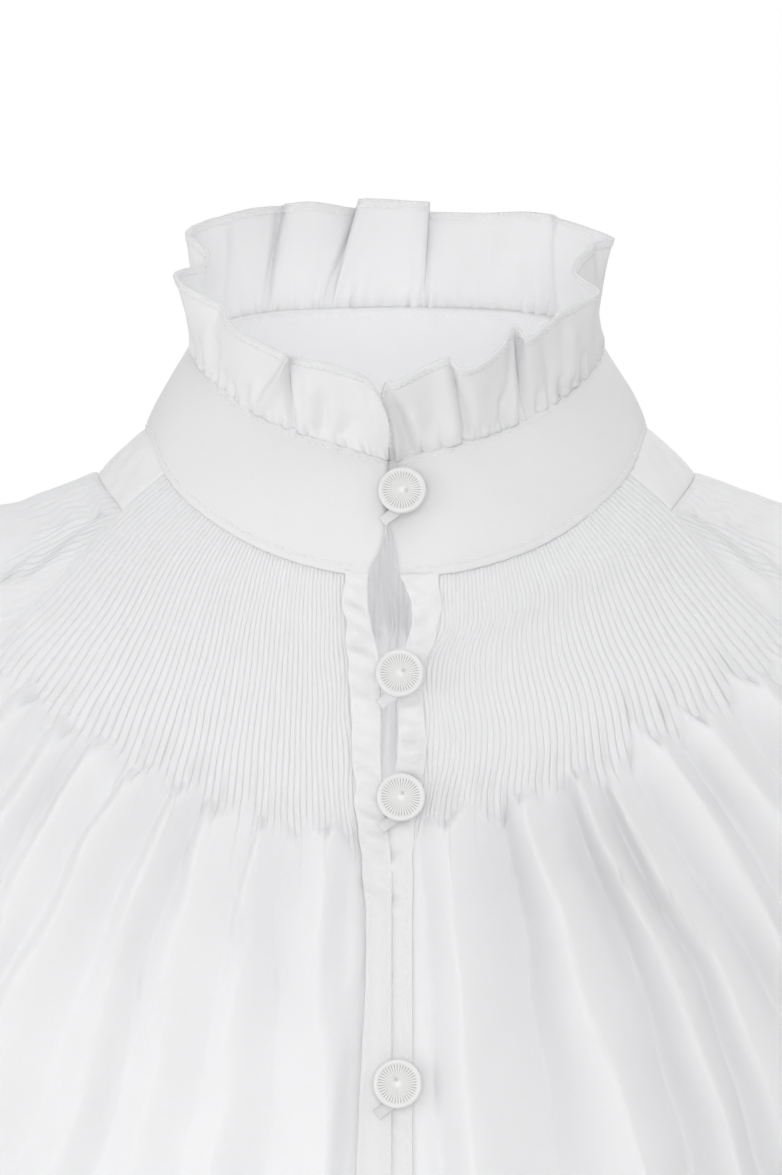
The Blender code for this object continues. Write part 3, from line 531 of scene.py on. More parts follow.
def panel(form, folds, shape, run, inner, tucks, profile, tuck_run, seed, inner_seam=True):
    """Places and lifts of one tucked panel, from its inner edge to its outer seam."""
    down, start = run[:, None], inner[:, None]
    share, (height, leaning) = tuck_columns(tucks, profile)
    number = share * tucks
    # each tuck wanders a little, more beside the placket and the raglan seam
    loose = 0.35 + 1.8 * np.exp(-number / 3.0) + 0.5 * np.exp(-(tucks - number) / 3.0)
    stray = TUCK_STRAY * crumple(seed, number[None] / 6.0, down / 16.0) * loose
    stray *= ease(down, 2, 18) * (1 - ease(down, tuck_run + 30, tuck_run + 90))
    stray *= ease(number, 0, 1.5) * ease(tucks - number, 0, 1.5)
    spread = share + OUTER_SPREAD * (share**5 - share)
    u = start + (1 - start) * (spread + stray / tucks)
    # the tucks end along the heads of the folds, some a little sooner than others
    head = tuck_run + TUCK_END_WANDER * crumple(seed + 2, number[None] / 5.0)
    head = head - fold_heads(folds, form.side, u[np.searchsorted(run, tuck_run)])
    below = down - head
    past_tuck = below - TUCK_END_SCATTER * crumple(seed + 1, number[None] / 1.1)
    opened = ease(past_tuck, -0.5, POP_LENGTH)
    # a few tucks stand up and twist a little before their last stitch
    pop = np.clip(1.6 * crumple(seed + 8, number[None] / 0.7) - 0.4, 0, 1.3)
    pop = pop * np.exp(-((past_tuck + 4.0) / 5.0)**2)
    twisted = leaning if form.side < 0 else height
    pressed = 0.85 + 0.15 * ease(down, 2, 40) + 0.10 * crumple(seed + 3, number[None] / 1.7, down / 22.0)
    plain = form.plain(u, run)
    width = np.linalg.norm(np.gradient(plain, axis=1), axis=-1) / np.gradient(share) / tucks
    tuck = (TUCK_STEEPNESS[shape] * np.minimum(width, WIDEST_TUCK)
            * (height * pressed * (1 - opened) + twisted * pop))
    # fine ridges run on below the tucks and die away
    reach = 4 + 13 * np.clip(crumple(seed + 4, number[None] / 0.9), 0, 2)**2
    ridge = RIDGE_HEIGHT * opened * np.exp(-np.maximum(past_tuck, 0) / reach) * (height - 0.5)
    ridge = ridge * (0.8 + 0.7 * crumple(seed + 5, number[None] / 0.8))
    # the released folds
    depth, at_once, lower, at_bust = FOLD_SHAPES[shape]
    growth = 1 + HEM_GROWTH * ease(down, FULL_RUN, HEM_RUN)
    released = (at_once * ease(below, -0.5, 5) + lower * ease(below, 4, 26)
                + at_bust * ease(below, 10, FULL_RUN - tuck_run - 15)) * growth
    from_placket = ease(share, 0.012, 0.07) if inner_seam else 1
    lift = depth * fold_lifts(folds, u, run, tuck_run) * released + BILLOW * ease(below, -0.5, 8)
    lift = lift * from_placket + (tuck + ridge) * ease(share, -0.004, 0.02)
    unrest = 0.3 * crumple(seed + 6, u * 9, down / 34.0) * ease(down, tuck_run, FULL_RUN)
    lift = lift + unrest * from_placket
    # the seams pull the cloth in and pucker it
    from_seam = (1 - u) * SEAM_WIDTH
    pucker = SEAM_PUCKER * crumple(seed + 7, down / 3.4) * (down < UNDERARM_RUN)
    lift = lift * ease(from_seam, 0, SEAM_PULL) + pucker * ease(from_seam, 0, 1.2) * np.exp(-from_seam / 3.0)
    return u, lift


for name, side, folds, placket, tuck_run, seed in (
        ("left", -1, LEFT_FOLDS, LEFT_PLACKET, LEFT_TUCK_RUN, 11),
        ("right", 1, RIGHT_FOLDS, RIGHT_PLACKET, RIGHT_TUCK_RUN, 23)):
    form = BodyForm(side, FRONT_SECTIONS, FRONT_EDGE, STRAP_FRONT_ANGLE, 0)
    seam = np.array(placket, float)
    run = body_rows(tuck_run)
    inner = form.place_of_x(flow(seam[:, 0], seam[:, 1], run) - PLACKET_LAP, run)
    u, lift = panel(form, folds, name, run, inner, FRONT_TUCKS, TUCK_PROFILE, tuck_run, seed)
    piece = cloth(f"front_{name}_cloth", form.points(u, run, lift), CAMBRIC, f"front_{name}", turned=HEM_ROWS)


# Back: one panel of the same cambric, tucked like the fronts on both sides of its middle and joined to
# them at the side seams.
BACK_SECTIONS = (
    (0, 64.0, -6.0, 66, 1.00),
    (18, 69.0, -23.3, 67, 1.10),
    (45, 80.0, -48.0, 68, 1.20),
    (74, 91.0, -75.0, 70, 1.30),
    (110, 102.0, -109.2, 76, 1.30),
    (150, 111.0, -148.2, 82, 1.28),
    (190, 116.0, -188.0, 87, 1.26),
    (225, 119.0, -223.0, 90, 1.24),
    (300, 120.0, -305.0, 90, 1.20),
    (380, 118.5, -385.0, 90, 1.16),
    (455, 117.0, -462.0, 90, 1.12),
)
BACK_EDGE = (
    (18, 81.0, 30.0, -17.5),
    (45, 100.0, 44.0, -41.0),
    (74, 119.0, 54.0, -66.0),
    (110, 140.0, 59.0, -98.0),
    (150, 156.0, 53.0, -135.0),
    (190, 166.0, 33.0, -168.0),
    (225, 171.0, 3.0, -190.0),
    (300, 172.0, 4.0, -285.0),
    (380, 180.0, 4.0, -380.0),
    (455, 188.0, 4.0, -462.0),
)
BACK_LEFT_FOLDS = (
    (0.045, 0.030, -1.5), (0.090, 0.075, 5.5), (0.170, 0.160, -4.0), (0.240, 0.245, 7.5),
    (0.320, 0.310, -3.5), (0.385, 0.395, 8.0), (0.450, 0.465, -5.0), (0.515, 0.525, 6.0),
    (0.570, 0.585, -3.5), (0.630, 0.640, 7.5), (0.700, 0.700, -4.0), (0.765, 0.770, 5.5),
    (0.840, 0.840, -3.0), (0.910, 0.910, 3.5),
)
BACK_RIGHT_FOLDS = (
    (0.060, 0.070, -3.5), (0.130, 0.140, 7.0), (0.215, 0.210, -5.0), (0.290, 0.300, 7.0),
    (0.355, 0.360, -3.0), (0.415, 0.430, 5.5), (0.490, 0.500, -5.5), (0.560, 0.565, 8.0),
    (0.630, 0.640, -4.0), (0.690, 0.700, 6.0), (0.770, 0.775, -3.5), (0.840, 0.845, 5.0),
    (0.920, 0.920, -1.5),
)
BACK_TUCK_RUN = 75.0
BACK_TUCKS = 50
BACK_PROFILE = [TUCK_PROFILE[i] for i in (0, 2, 4)]

halves = []
run = body_rows(BACK_TUCK_RUN)
for side, folds, seed in ((-1, BACK_LEFT_FOLDS, 31), (1, BACK_RIGHT_FOLDS, 43)):
    form = BodyForm(side, BACK_SECTIONS, BACK_EDGE, STRAP_BACK_ANGLE, 180)
    u, lift = panel(form, folds, "back", run, np.zeros(len(run)), BACK_TUCKS, BACK_PROFILE, BACK_TUCK_RUN,
                    seed, inner_seam=False)
    halves.append(form.points(u, run, lift))
middle = (halves[0][:, :1] + halves[1][:, :1]) / 2
back_form = np.concatenate([halves[0][:, :0:-1], middle, halves[1][:, 1:]], 1)
piece = cloth("back_cloth", back_form, CAMBRIC, "back", turned=HEM_ROWS)


# Shoulder straps: plain pieces of doubled cambric that bridge front and back between neckband and
# sleeve, with their seams pressed flat.
STRAP_RUN = 18.0
STRAP_RIDGE = (89.0, 0.5, -13.4)
STRAP_LENGTH = 52       # from its front seam to its back seam
STRAP_SHELL = 0.8


def strap_outer(q):
    """The strap's outer seam, q 0 at its front corner and 1 at its back corner."""
    corners = np.array([body_edge(FRONT_EDGE, STRAP_FRONT_ANGLE, STRAP_RUN), STRAP_RIDGE,
                        body_edge(BACK_EDGE, STRAP_BACK_ANGLE, STRAP_RUN)])
    return flow((0, 0.5, 1), corners, q)


def strap_points(across, along):
    """Patch between four seams: across runs from front to back, along from the neckband to the sleeve."""
    q, t = across[None, :, None], along[:, None, None]
    front_seam = body_edge(FRONT_EDGE, STRAP_FRONT_ANGLE, along * STRAP_RUN)[:, None]
    back_seam = body_edge(BACK_EDGE, STRAP_BACK_ANGLE, along * STRAP_RUN)[:, None]
    neck = neck_point(STRAP_FRONT_ANGLE + (STRAP_BACK_ANGLE - STRAP_FRONT_ANGLE) * across, 0.0)[None]
    outer = strap_outer(across)[None]
    corners = ((1 - q) * (1 - t) * neck[:, :1] + q * (1 - t) * neck[:, -1:]
               + (1 - q) * t * outer[:, :1] + q * t * outer[:, -1:])
    return (1 - q) * front_seam + q * back_seam + (1 - t) * neck + t * outer - corners


def surface_normals(points, closed=False):
    """Unit normals of a grid of points."""
    if closed:
        across = np.roll(points, -1, 1) - np.roll(points, 1, 1)
    else:
        across = np.gradient(points, axis=1)
    return unit(np.cross(across, np.gradient(points, axis=0)))


STITCH_SIDES = 5


def sew(name, lines, pitch=2.3, half_width=0.2, height=0.18):
    """Rows of small stitches as one joined mesh. Each line is a path and the directions out of the cloth."""
    turn = 2 * math.pi * (np.arange(STITCH_SIDES) + 0.5) / STITCH_SIDES
    corners, faces = [], []
    for path, out in lines:
        length = np.concatenate([[0], np.cumsum(np.linalg.norm(np.diff(path, axis=0), axis=1))])
        starts = np.arange(0.6 * pitch, length[-1] - pitch, pitch)
        spots = starts[:, None] + 0.74 * pitch * np.array([0, 0.22, 0.78, 1])
        spine = np.stack([np.interp(spots, length, path[:, axis]) for axis in range(3)], -1)
        face = unit(np.stack([np.interp(starts, length, out[:, axis]) for axis in range(3)], -1))
        aside = np.cross(face, unit(spine[:, 3] - spine[:, 0]))
        ring = (aside[:, None] * np.cos(turn)[:, None] * half_width
                + face[:, None] * np.sin(turn)[:, None] * height)
        sunk = face[:, None] * height
        stitch = np.concatenate([spine[:, :1] - sunk, spine[:, 1:2] + ring, spine[:, 2:3] + ring,
                                 spine[:, 3:] - sunk], 1)
        each = stitch.shape[1]
        for first in range(len(corners), len(corners) + len(stitch) * each, each):
            for side in range(STITCH_SIDES):
                here, there = first + 1 + side, first + 1 + (side + 1) % STITCH_SIDES
                next_here, next_there = here + STITCH_SIDES, there + STITCH_SIDES
                faces += [[first, there, here], [here, there, next_there, next_here],
                          [next_here, next_there, first + each - 1]]
        corners.extend(stitch.reshape(-1, 3))
    return add_mesh(name, corners, faces, THREAD)


thread = Finish(bpy.data.materials.new("sewing_thread"))
twist = thread.node("ShaderNodeTexWave", {"bands_direction": "DIAGONAL"},
                    {"Scale": 900.0, "Distortion": 0.5}, 1)
thread_shade = thread.node("ShaderNodeMix", {"data_type": "RGBA"},
                           {"Factor": twist, "A": (0.84, 0.84, 0.845, 1), "B": (0.9, 0.9, 0.905, 1)})
thread_bump = thread.node("ShaderNodeBump", None, {"Strength": 0.4, "Distance": 0.00006, "Height": twist})
THREAD = thread.surface(thread.node("ShaderNodeBsdfPrincipled", None, {
    "Base Color": thread_shade, "Roughness": 0.55, "Sheen Weight": 0.1, "Normal": thread_bump}))
# Its tint, darker than the single cambric's, is painted shade: the doubled cloth is the same white cotton.
DOUBLED = weave("doubled_cambric", (0.85, 0.85, 0.855), see_through=0.10)

across = np.linspace(0, 1, 60)
along = np.linspace(0, 1, 26)
plain = strap_points(across, along)
normal = surface_normals(plain)
normal *= np.sign(normal[..., 2:])
edge_gap = np.minimum(across, 1 - across)[None] * STRAP_LENGTH
end_gap = np.minimum(along, 1 - along)[:, None] * STRAP_RUN
rounding = 0.6 * (1 - np.exp(-edge_gap / 1.2)) * (1 - np.exp(-end_gap / 1.0))
ripple = (0.22 * crumple(51, across[None] * 4.5, along[:, None] * 2)
          + 0.15 * crumple(52, across[None] * 13, along[:, None] * 1.5))
ripple = ripple * ease(edge_gap, 0, 2.0) * ease(end_gap, 0, 2.0)
strap_form = plain + normal * (rounding + ripple)[..., None]
for side, name in ((-1, "left"), (1, "right")):
    piece = cloth(f"strap_{name}_cloth", strap_form * (side, 1, 1), DOUBLED, f"strap_{name}",
                  shell=STRAP_SHELL)


# Plackets: folded strips along both front edges, topstitched on both sides, and puckered where the tucks
# end against them.
PLACKETS = (
    # name, side, table, how far its middle lies above the fronts' seams
    ("left", -1, LEFT_PLACKET, 1.55),
    ("right", 1, RIGHT_PLACKET, 0.60),
)
PLACKET_SHELL = 0.6
PLACKET_STITCHES = (3, 11)      # columns that the topstitching follows
STITCH_SHARES = (0.12, 0.88)    # where the stitches hold the strip down, as shares of its width
placket_run = np.concatenate([np.linspace(0, 170, 150), np.linspace(172.5, HEM_RUN, 110)])
placket_share = np.array([0, 0.03, 0.08, 0.13, 0.2, 0.3, 0.42, 0.54, 0.66, 0.76, 0.84, 0.9, 0.95, 1.0])
for name, side, table, layer in PLACKETS:
    form = BodyForm(side, FRONT_SECTIONS, FRONT_EDGE, STRAP_FRONT_ANGLE, 0)
    table = np.array(table, float)
    seam_x, free_x = flow(table[:, 0], table[:, 1:], placket_run).T
    fade = 1 - 0.86 * ease(placket_run, 86, 106)[:, None]
    wander = 0.35 * crumple(61, placket_run / 7.5) * fade[:, 0]
    x = (seam_x + wander)[:, None] + (free_x - seam_x - wander)[:, None] * placket_share
    u = np.stack([form.place_of_x(column, placket_run) for column in x.T], 1)
    # both strips pucker alike, because the buttons hold them together
    down, aside = placket_run[:, None], x * side
    pucker = (0.85 * crumple(62, down / 4.2, aside / 11) + 0.36 * crumple(63, down / 2.5, aside / 7)
              + 0.36 * crumple(64, down / 11.0, aside / 14))
    pucker = pucker * fade * (0.2 + 0.8 * np.sin(placket_share * math.pi))
    rounded = -0.2 * np.exp(-placket_share * 20) - 0.3 * np.exp(-(1 - placket_share) * 20)
    held = 0.16 * sum(np.exp(-((placket_share - line) / 0.05)**2) for line in STITCH_SHARES)
    lift = layer + pucker + rounded - held
    piece = cloth(f"placket_{name}_cloth", form.points(u, placket_run, lift), DOUBLED, f"placket_{name}",
                  shell=PLACKET_SHELL)
    face = lift + PLACKET_SHELL / 2
    rows = [form.points(u[:, [column]], placket_run, face[:, [column]])[:, 0] for column in PLACKET_STITCHES]
    out = form.normals(u[:, 3:4], placket_run)[:, 0] * (side, 1, 1)
    stitches = sew(f"placket_{name}_stitches", [(row, out) for row in rows])


# Neckband: a doubled strip with a stiff lining between, topstitched along both edges. Its left end lies
# on top.
BAND_ENDS = (
    # level, left x, right x
    (0.00, -8.1, 0.9), (0.25, -4.2, -0.3), (0.45, -3.2, -3.0), (0.60, -3.0, -7.0), (1.00, -2.6, -9.0),
)
BAND_LEVELS = (-0.022, -0.010, 0.005, 0.025, 0.045, 0.06, 0.09, 0.16, 0.26, 0.38, 0.5, 0.62, 0.74, 0.84,
               0.91, 0.94, 0.955, 0.975, 0.99, 1.0, 1.008)
BAND_DEPTH = 40
LAYER_STEP = 2.0        # the right end lies this far under the left one
STITCH_LEVELS = (0.05, 0.95)


def band_surface(levels, travel):
    """Points of the neckband at levels up it. travel is 0 at its left end and 1 at its right end."""
    ends = np.array(BAND_ENDS, float)
    rows = []
    for level in levels:
        left_x, right_x = flow(ends[:, 0], ends[:, 1:], level)
        half_width = NECK_HALF_WIDTH + (TOP_HALF_WIDTH - NECK_HALF_WIDTH) * level
        start = math.degrees(math.asin(left_x / half_width))
        end = math.degrees(math.asin(right_x / half_width)) - 360
        angle = start + (end - start) * travel
        points = neck_point(angle, level)
        outward = unit((points - (0, TOP_CENTRE_Y, 0)) * (1, 1, 0))
        edge = min(abs(level - BAND_LEVELS[0]), abs(BAND_LEVELS[-1] - level)) * BAND_DEPTH
        pull = sum(np.exp(-((level - line) * BAND_DEPTH / 0.9)**2) for line in STITCH_LEVELS)
        out = 0.75 * (1 - level) - LAYER_STEP * ease(angle, -345, -358) + 0.45 * (1 - math.exp(-edge / 0.7))
        out = out - pull * (0.26 + 0.10 * crumple(81, angle / 2.1))
        seam = crumple(82 + int(level > 0.5), angle / 2.6, np.full_like(angle, level * 3))
        out = out + 0.16 * math.exp(-edge / 4.0) * seam
        out = out + 0.25 * crumple(84, angle / 22.0, np.full_like(angle, level * 1.3))
        rows.append(points + outward * out[:, None])
    return np.array(rows)


# Its tint, darker than the single cambric's, is painted shade on the neckband and cuffs: the cloth is the
# same white cotton.
INTERFACED = weave("interfaced_cambric", (0.805, 0.805, 0.81), crease=0.55, weave_depth=0.9, see_through=0.08)
BAND_SHELL = 1.1
band_travel = np.linspace(0, 1, 300)
band_piece = cloth("neckband_cloth", band_surface(BAND_LEVELS, band_travel), INTERFACED, "neckband",
                   shell=BAND_SHELL)
band_lines = []
for level in STITCH_LEVELS:
    low, high = band_surface((level - 0.02, level + 0.02), band_travel)
    middle = (low + high) / 2
    out = unit(np.cross(np.gradient(middle, axis=0), low - high))
    out *= np.sign(np.sum(out * (middle - (0, TOP_CENTRE_Y, 0)), -1, keepdims=True))
    band_lines += [(middle + out * BAND_SHELL / 2, out), (middle - out * BAND_SHELL / 2, -out)]
band_stitches = sew("neckband_stitches", band_lines)


# Ruffle: a crisp strip with a narrow turned hem, gathered into the neckband's upper seam. It leans out in
# front, stands up at the sides and back, and falls into pleats.
RUFFLE_PLEATS = (
    # place on the seam and place of the free edge, both round the neck from the centre front over the left
    # side, how far the edge stands out, and how far it rises
    (2.5, 2.2, 1.0, 1.0), (2.7, 1.8, 6.0, 11.0), (3.1, 3.6, 11.0, 18.7), (4.0, 6.2, 14.0, 24.0),
    (6.0, 9.6, 16.0, 25.6), (9.5, 13.4, 16.5, 26.0), (15.0, 17.0, 16.3, 26.0), (21.0, 20.0, 15.5, 25.6),
    (26.5, 22.6, 14.0, 25.3), (30.0, 24.0, 13.0, 25.0), (35.0, 22.9, 16.5, 25.4), (41.0, 24.5, 15.2, 25.8),
    (47.0, 29.0, 14.0, 26.4), (53.0, 35.0, 13.0, 27.0), (59.0, 41.4, 11.0, 27.6), (63.0, 45.6, 8.0, 28.8),
    (66.0, 48.0, 6.3, 29.5), (68.0, 50.0, 7.0, 30.0), (71.0, 54.0, 9.3, 30.4), (74.0, 60.0, 11.0, 30.6),
    (77.5, 66.5, 9.6, 30.0), (80.5, 71.0, 7.5, 29.3), (83.5, 76.5, 3.5, 28.0), (86.5, 84.0, -3.5, 26.5),
    (89.5, 90.0, -5.0, 28.5), (93.5, 96.0, -1.0, 30.5), (98.0, 101.0, 2.5, 31.5), (106.0, 107.0, 3.0, 32.0),
    (121.0, 121.0, 1.0, 32.5), (133.0, 136.0, 2.0, 32.8), (138.0, 144.0, 4.5, 32.6),
    (140.5, 148.8, 5.0, 32.4), (142.0, 147.4, -1.0, 33.6), (146.5, 152.5, -2.5, 34.0),
    (152.0, 160.0, -1.5, 33.0), (157.0, 166.5, 2.5, 31.6), (160.5, 170.8, 4.5, 31.2),
    (162.0, 169.4, -1.0, 34.2), (168.0, 173.0, -2.5, 34.5), (176.0, 180.0, -2.5, 34.0),
    (184.0, 187.0, -2.0, 33.6), (187.0, 189.2, -0.5, 33.2), (189.0, 187.6, 3.5, 30.5),
    (193.0, 192.5, 3.0, 30.0), (206.0, 206.0, 1.0, 30.3), (219.0, 219.0, 0.0, 31.5),
    (228.0, 228.0, 0.5, 31.6), (237.0, 237.0, -1.5, 31.4), (246.0, 247.5, 1.5, 30.5),
    (252.0, 253.0, 4.5, 29.6), (256.0, 256.5, 5.5, 29.2), (259.5, 259.0, 2.0, 29.0),
    (263.0, 262.0, -2.0, 29.2), (268.5, 272.0, -4.0, 30.2), (274.5, 283.0, -6.0, 31.0),
    (279.0, 289.5, -5.5, 29.4), (283.0, 295.0, 0.0, 29.0), (287.0, 299.5, 5.0, 29.6),
    (292.0, 304.6, 9.4, 30.3), (298.0, 310.4, 9.0, 30.6), (305.0, 317.4, 9.0, 31.0),
    (313.0, 324.0, 11.0, 29.9), (318.0, 327.6, 12.0, 28.3), (321.0, 330.0, 11.6, 28.3),
    (324.5, 330.4, 8.5, 31.0), (328.0, 332.8, 8.0, 31.3), (331.0, 335.6, 12.5, 29.0),
    (335.0, 340.3, 15.2, 26.0), (338.0, 344.0, 16.2, 24.6), (340.2, 347.0, 16.0, 25.2),
    (342.5, 349.0, 13.0, 28.8), (347.0, 353.0, 13.5, 28.0), (352.0, 357.0, 14.5, 26.4),
    (357.0, 360.6, 14.5, 25.0), (361.0, 362.6, 13.5, 23.5), (364.0, 364.0, 9.0, 15.0),
    (364.5, 364.4, 1.0, 1.0),
)
RUFFLE_CREASES = (
    # where it starts and ends, as place on the seam and share of the height, then half width and depth
    (30.5, 0.05, 31.5, 0.95, 1.5, -2.3), (40.5, 0.10, 33.8, 1.00, 2.4, 2.4),
    (21.5, 0.05, 16.5, 0.62, 2.3, -1.9), (25.0, 0.10, 21.0, 0.70, 2.4, 1.2),
    (15.8, 0.08, 9.5, 0.45, 2.2, -1.7), (61.0, 0.05, 63.0, 0.60, 1.9, -1.9),
    (70.0, 0.04, 70.0, 0.38, 1.6, -1.6), (66.0, 0.15, 68.0, 0.90, 2.8, 1.6),
    (56.5, 0.02, 57.0, 0.32, 1.4, -1.4), (52.0, 0.02, 52.6, 0.26, 1.3, -1.3),
    (47.0, 0.02, 47.4, 0.36, 1.4, -1.3), (44.0, 0.10, 44.5, 0.50, 2.0, 1.0),
    (76.0, 0.03, 76.0, 0.30, 1.4, -1.3), (355.5, 0.05, 358.8, 0.80, 1.9, -2.4),
    (353.0, 0.10, 354.5, 0.60, 2.3, 1.2), (344.2, 0.06, 343.8, 1.00, 2.1, 2.0),
    (340.0, 0.03, 341.0, 0.95, 1.5, -2.5), (337.0, 0.20, 337.5, 0.80, 2.4, 0.9),
    (321.0, 0.05, 325.0, 0.95, 1.5, -2.3), (326.8, 0.10, 327.6, 1.00, 2.0, 1.8),
    (330.2, 0.04, 330.6, 0.42, 1.5, -1.7), (349.0, 0.25, 350.0, 0.75, 2.4, -1.1),
    (311.5, 0.10, 314.0, 0.85, 2.4, -1.4), (303.0, 0.15, 303.5, 0.75, 2.8, 1.6),
    (317.0, 0.03, 317.4, 0.30, 1.4, -1.5), (308.0, 0.03, 307.6, 0.28, 1.4, -1.4),
    (297.0, 0.03, 297.0, 0.35, 1.5, -1.3), (139.5, 0.03, 141.5, 0.95, 1.4, 1.3),
    (158.5, 0.03, 161.0, 0.95, 1.4, 1.2), (188.0, 0.05, 188.5, 0.90, 1.3, 1.2),
    (120.0, 0.20, 121.0, 0.90, 3.0, -1.3), (110.0, 0.20, 110.0, 0.90, 3.5, 1.2),
    (236.0, 0.10, 234.0, 0.95, 2.6, -1.5), (229.0, 0.10, 228.0, 0.95, 3.0, 1.3),
    (172.0, 0.04, 172.5, 0.35, 1.7, -1.2), (204.0, 0.04, 201.0, 0.45, 2.4, -1.2),
)
RUFFLE_SHELL = 0.5
RUFFLE_HEM = 0.925      # the hem's inner edge, as a share of the height
HEM_STITCHES = (0.937, 0.985)
MM_PER_DEGREE = 1.0     # along the ruffle's seam


def crease_lift(creases, place, height):
    """Soft ridges and troughs laid on the ruffle one by one."""
    lift = 0
    for place_1, height_1, place_2, height_2, half_width, depth in creases:
        t = (height - height_1) / (height_2 - height_1)
        aside = (place - place_1 - (place_2 - place_1) * t) * MM_PER_DEGREE
        along_it = ease(t, -0.15, 0.2) * (1 - ease(t, 0.75, 1.15))
        lift = lift + depth * np.exp(-(aside / half_width)**2) * along_it
    return lift


def ruffle_surface(heights, along):
    """Points of the ruffle: heights are shares from seam to edge, along counts the table's rows."""
    table = np.array(RUFFLE_PLEATS)
    seam_place, edge_place, stands, rises = flow(np.arange(len(table)), table, along).T
    gather = crumple(91, seam_place / 2.1) + 0.6 * crumple(92, seam_place / 1.2)
    gather_reach = 0.10 + 0.10 * np.abs(crumple(94, seam_place / 4.0))
    rows = []
    for height in heights:
        place = seam_place + (edge_place - seam_place) * height**1.15
        base = neck_point(-place, 1.0)
        outward = unit((base - (0, TOP_CENTRE_Y, 0)) * (1, 1, 0))
        out = stands * (0.35 * height + 0.65 * height**1.5) + 0.9
        out = out + 0.55 * gather * ease(height, 0, 0.03) * np.exp(-(height / gather_reach)**2)
        wave = crumple(93, seam_place / 7.0, np.full_like(place, height * 1.6))
        out = out + 0.7 * wave * height * (1.3 - height)
        out = out + crease_lift(RUFFLE_CREASES, seam_place, height)
        inset = LAYER_STEP * ease(seam_place, 344, 357)
        rows.append(base + outward * (out - inset)[:, None] + np.outer(rises * height - 0.3, (0, 0, 1)))
    return np.array(rows)


ruffle_along = np.linspace(0, len(RUFFLE_PLEATS) - 1, 830)
ruffle_heights = np.array([*np.linspace(0, 0.24, 9), *np.linspace(0.30, 0.90, 11), RUFFLE_HEM - 0.008,
                           RUFFLE_HEM, 0.96, 1.0])
# Its tint, a little darker than the single cambric's, is painted shade on the ruffle: the cloth is the same
# white cotton.
CRISP = weave("crisp_cambric", (0.865, 0.865, 0.87), crease=0.8, see_through=0.2)
ruffle_piece = cloth("ruffle_cloth", ruffle_surface(ruffle_heights, ruffle_along), CRISP, "ruffle",
                     shell=RUFFLE_SHELL, turned=3)
hem_lines = []
for height in HEM_STITCHES:
    low, middle, high = ruffle_surface((height - 0.01, height, height + 0.01), ruffle_along)
    out = unit(np.cross(np.gradient(middle, axis=0), high - low))
    hem_lines += [(middle + out * RUFFLE_SHELL * face, out * face) for face in (-1, 1)]
ruffle_stitches = sew("ruffle_stitches", hem_lines, pitch=2.0)


# Sleeves: full raglan sleeves of the same cambric. Short tucks at the shoulder let their fullness out,
# and it is gathered again into the cuff.
SLEEVE_RINGS = (
    # top x, top z, under x, under z, half depth
    (150.0, -28.0, 181.0, -195.0, 60.0),
    (190.0, -39.0, 184.5, -201.0, 65.0),
    (226.0, -63.0, 188.0, -209.0, 68.0),
    (256.0, -98.0, 191.0, -220.0, 69.0),
    (282.0, -144.0, 195.0, -237.0, 67.0),
    (302.0, -191.0, 200.0, -259.0, 65.0),
    (314.0, -228.0, 206.0, -281.0, 62.0),
    (320.0, -258.0, 215.0, -299.0, 56.0),
    (314.0, -281.0, 235.0, -311.0, 43.0),
)
SHOULDER_SAG = 3.5      # how far the top dips between the head seam and the first ring
SLEEVE_CENTRE_Y = 3.0
ARM_AXIS = (0.358, 0.0, -0.934)
SLEEVE_SEAM = (
    # place round the sleeve from its top over the front, run along the raglan seam
    (0.05, 18), (0.10, 45), (0.145, 74), (0.193, 110), (0.272, 150), (0.356, 190), (0.50, 225),
)
SLEEVE_FOLDS = (
    # place round the sleeve, height
    (0.00, 4.5), (0.04, -2.5), (0.085, 4.5), (0.13, -3.5), (0.18, 5.5), (0.235, -3.0), (0.29, 5.0),
    (0.35, -2.5), (0.41, 2.5), (0.50, 0.5), (0.58, 2.0), (0.64, -2.0), (0.69, 4.5), (0.75, -3.5),
    (0.80, 5.5), (0.85, -3.0), (0.90, 5.0), (0.95, -3.0), (1.00, 4.5),
)
SLEEVE_TUCKS = 46           # from the underside of the front yoke over the shoulder to the back
SLEEVE_TUCK_SPAN = 0.125    # share of the sleeve's girth on each side of its top
SLEEVE_PROFILE = ((0.0, 0.0), (0.14, 0.75), (0.36, 1.0), (0.62, 0.8), (0.84, 0.35))
SLEEVE_TUCK_HEIGHT = 0.8
SLEEVE_STRAY = 0.4          # how far a tuck strays sideways, in tucks
TUCK_SLANT = 0.06           # share of the girth by which the tucks run down on their way out
HEAD_STEPS = 2000


def sleeve_head(place):
    """Points of the head seam, along the strap's outer seam and the raglan seams of front and back."""
    seam = np.array(SLEEVE_SEAM, float)
    all_round = np.linspace(0, 1, HEAD_STEPS + 1)
    points = []
    for w in all_round:
        near = min(w, 1 - w)
        edge, angle = (FRONT_EDGE, STRAP_FRONT_ANGLE) if w < 0.5 else (BACK_EDGE, STRAP_BACK_ANGLE)
        if near < seam[0, 0]:
            reach = near / seam[0, 0] / 2
            points.append(strap_outer(0.5 - reach if w < 0.5 else 0.5 + reach))
        else:
            points.append(body_edge(edge, angle, np.interp(near, seam[:, 0], seam[:, 1])))
    return np.stack([np.interp(place % 1, all_round, axis) for axis in np.array(points).T], -1)


def sleeve_ring(ring, place):
    """Points of one ring of the sleeve: place 0 at its top and 0.25 at its front."""
    top_x, top_z, under_x, under_z, half_depth = ring
    turn = 2 * np.pi * place[..., None]
    centre = np.array([(top_x + under_x) / 2, SLEEVE_CENTRE_Y, (top_z + under_z) / 2])
    tall = np.array([(top_x - under_x) / 2, 0, (top_z - under_z) / 2])
    deep = np.array([0, -half_depth, 0])
    return centre + tall * np.cos(turn) + deep * np.sin(turn)


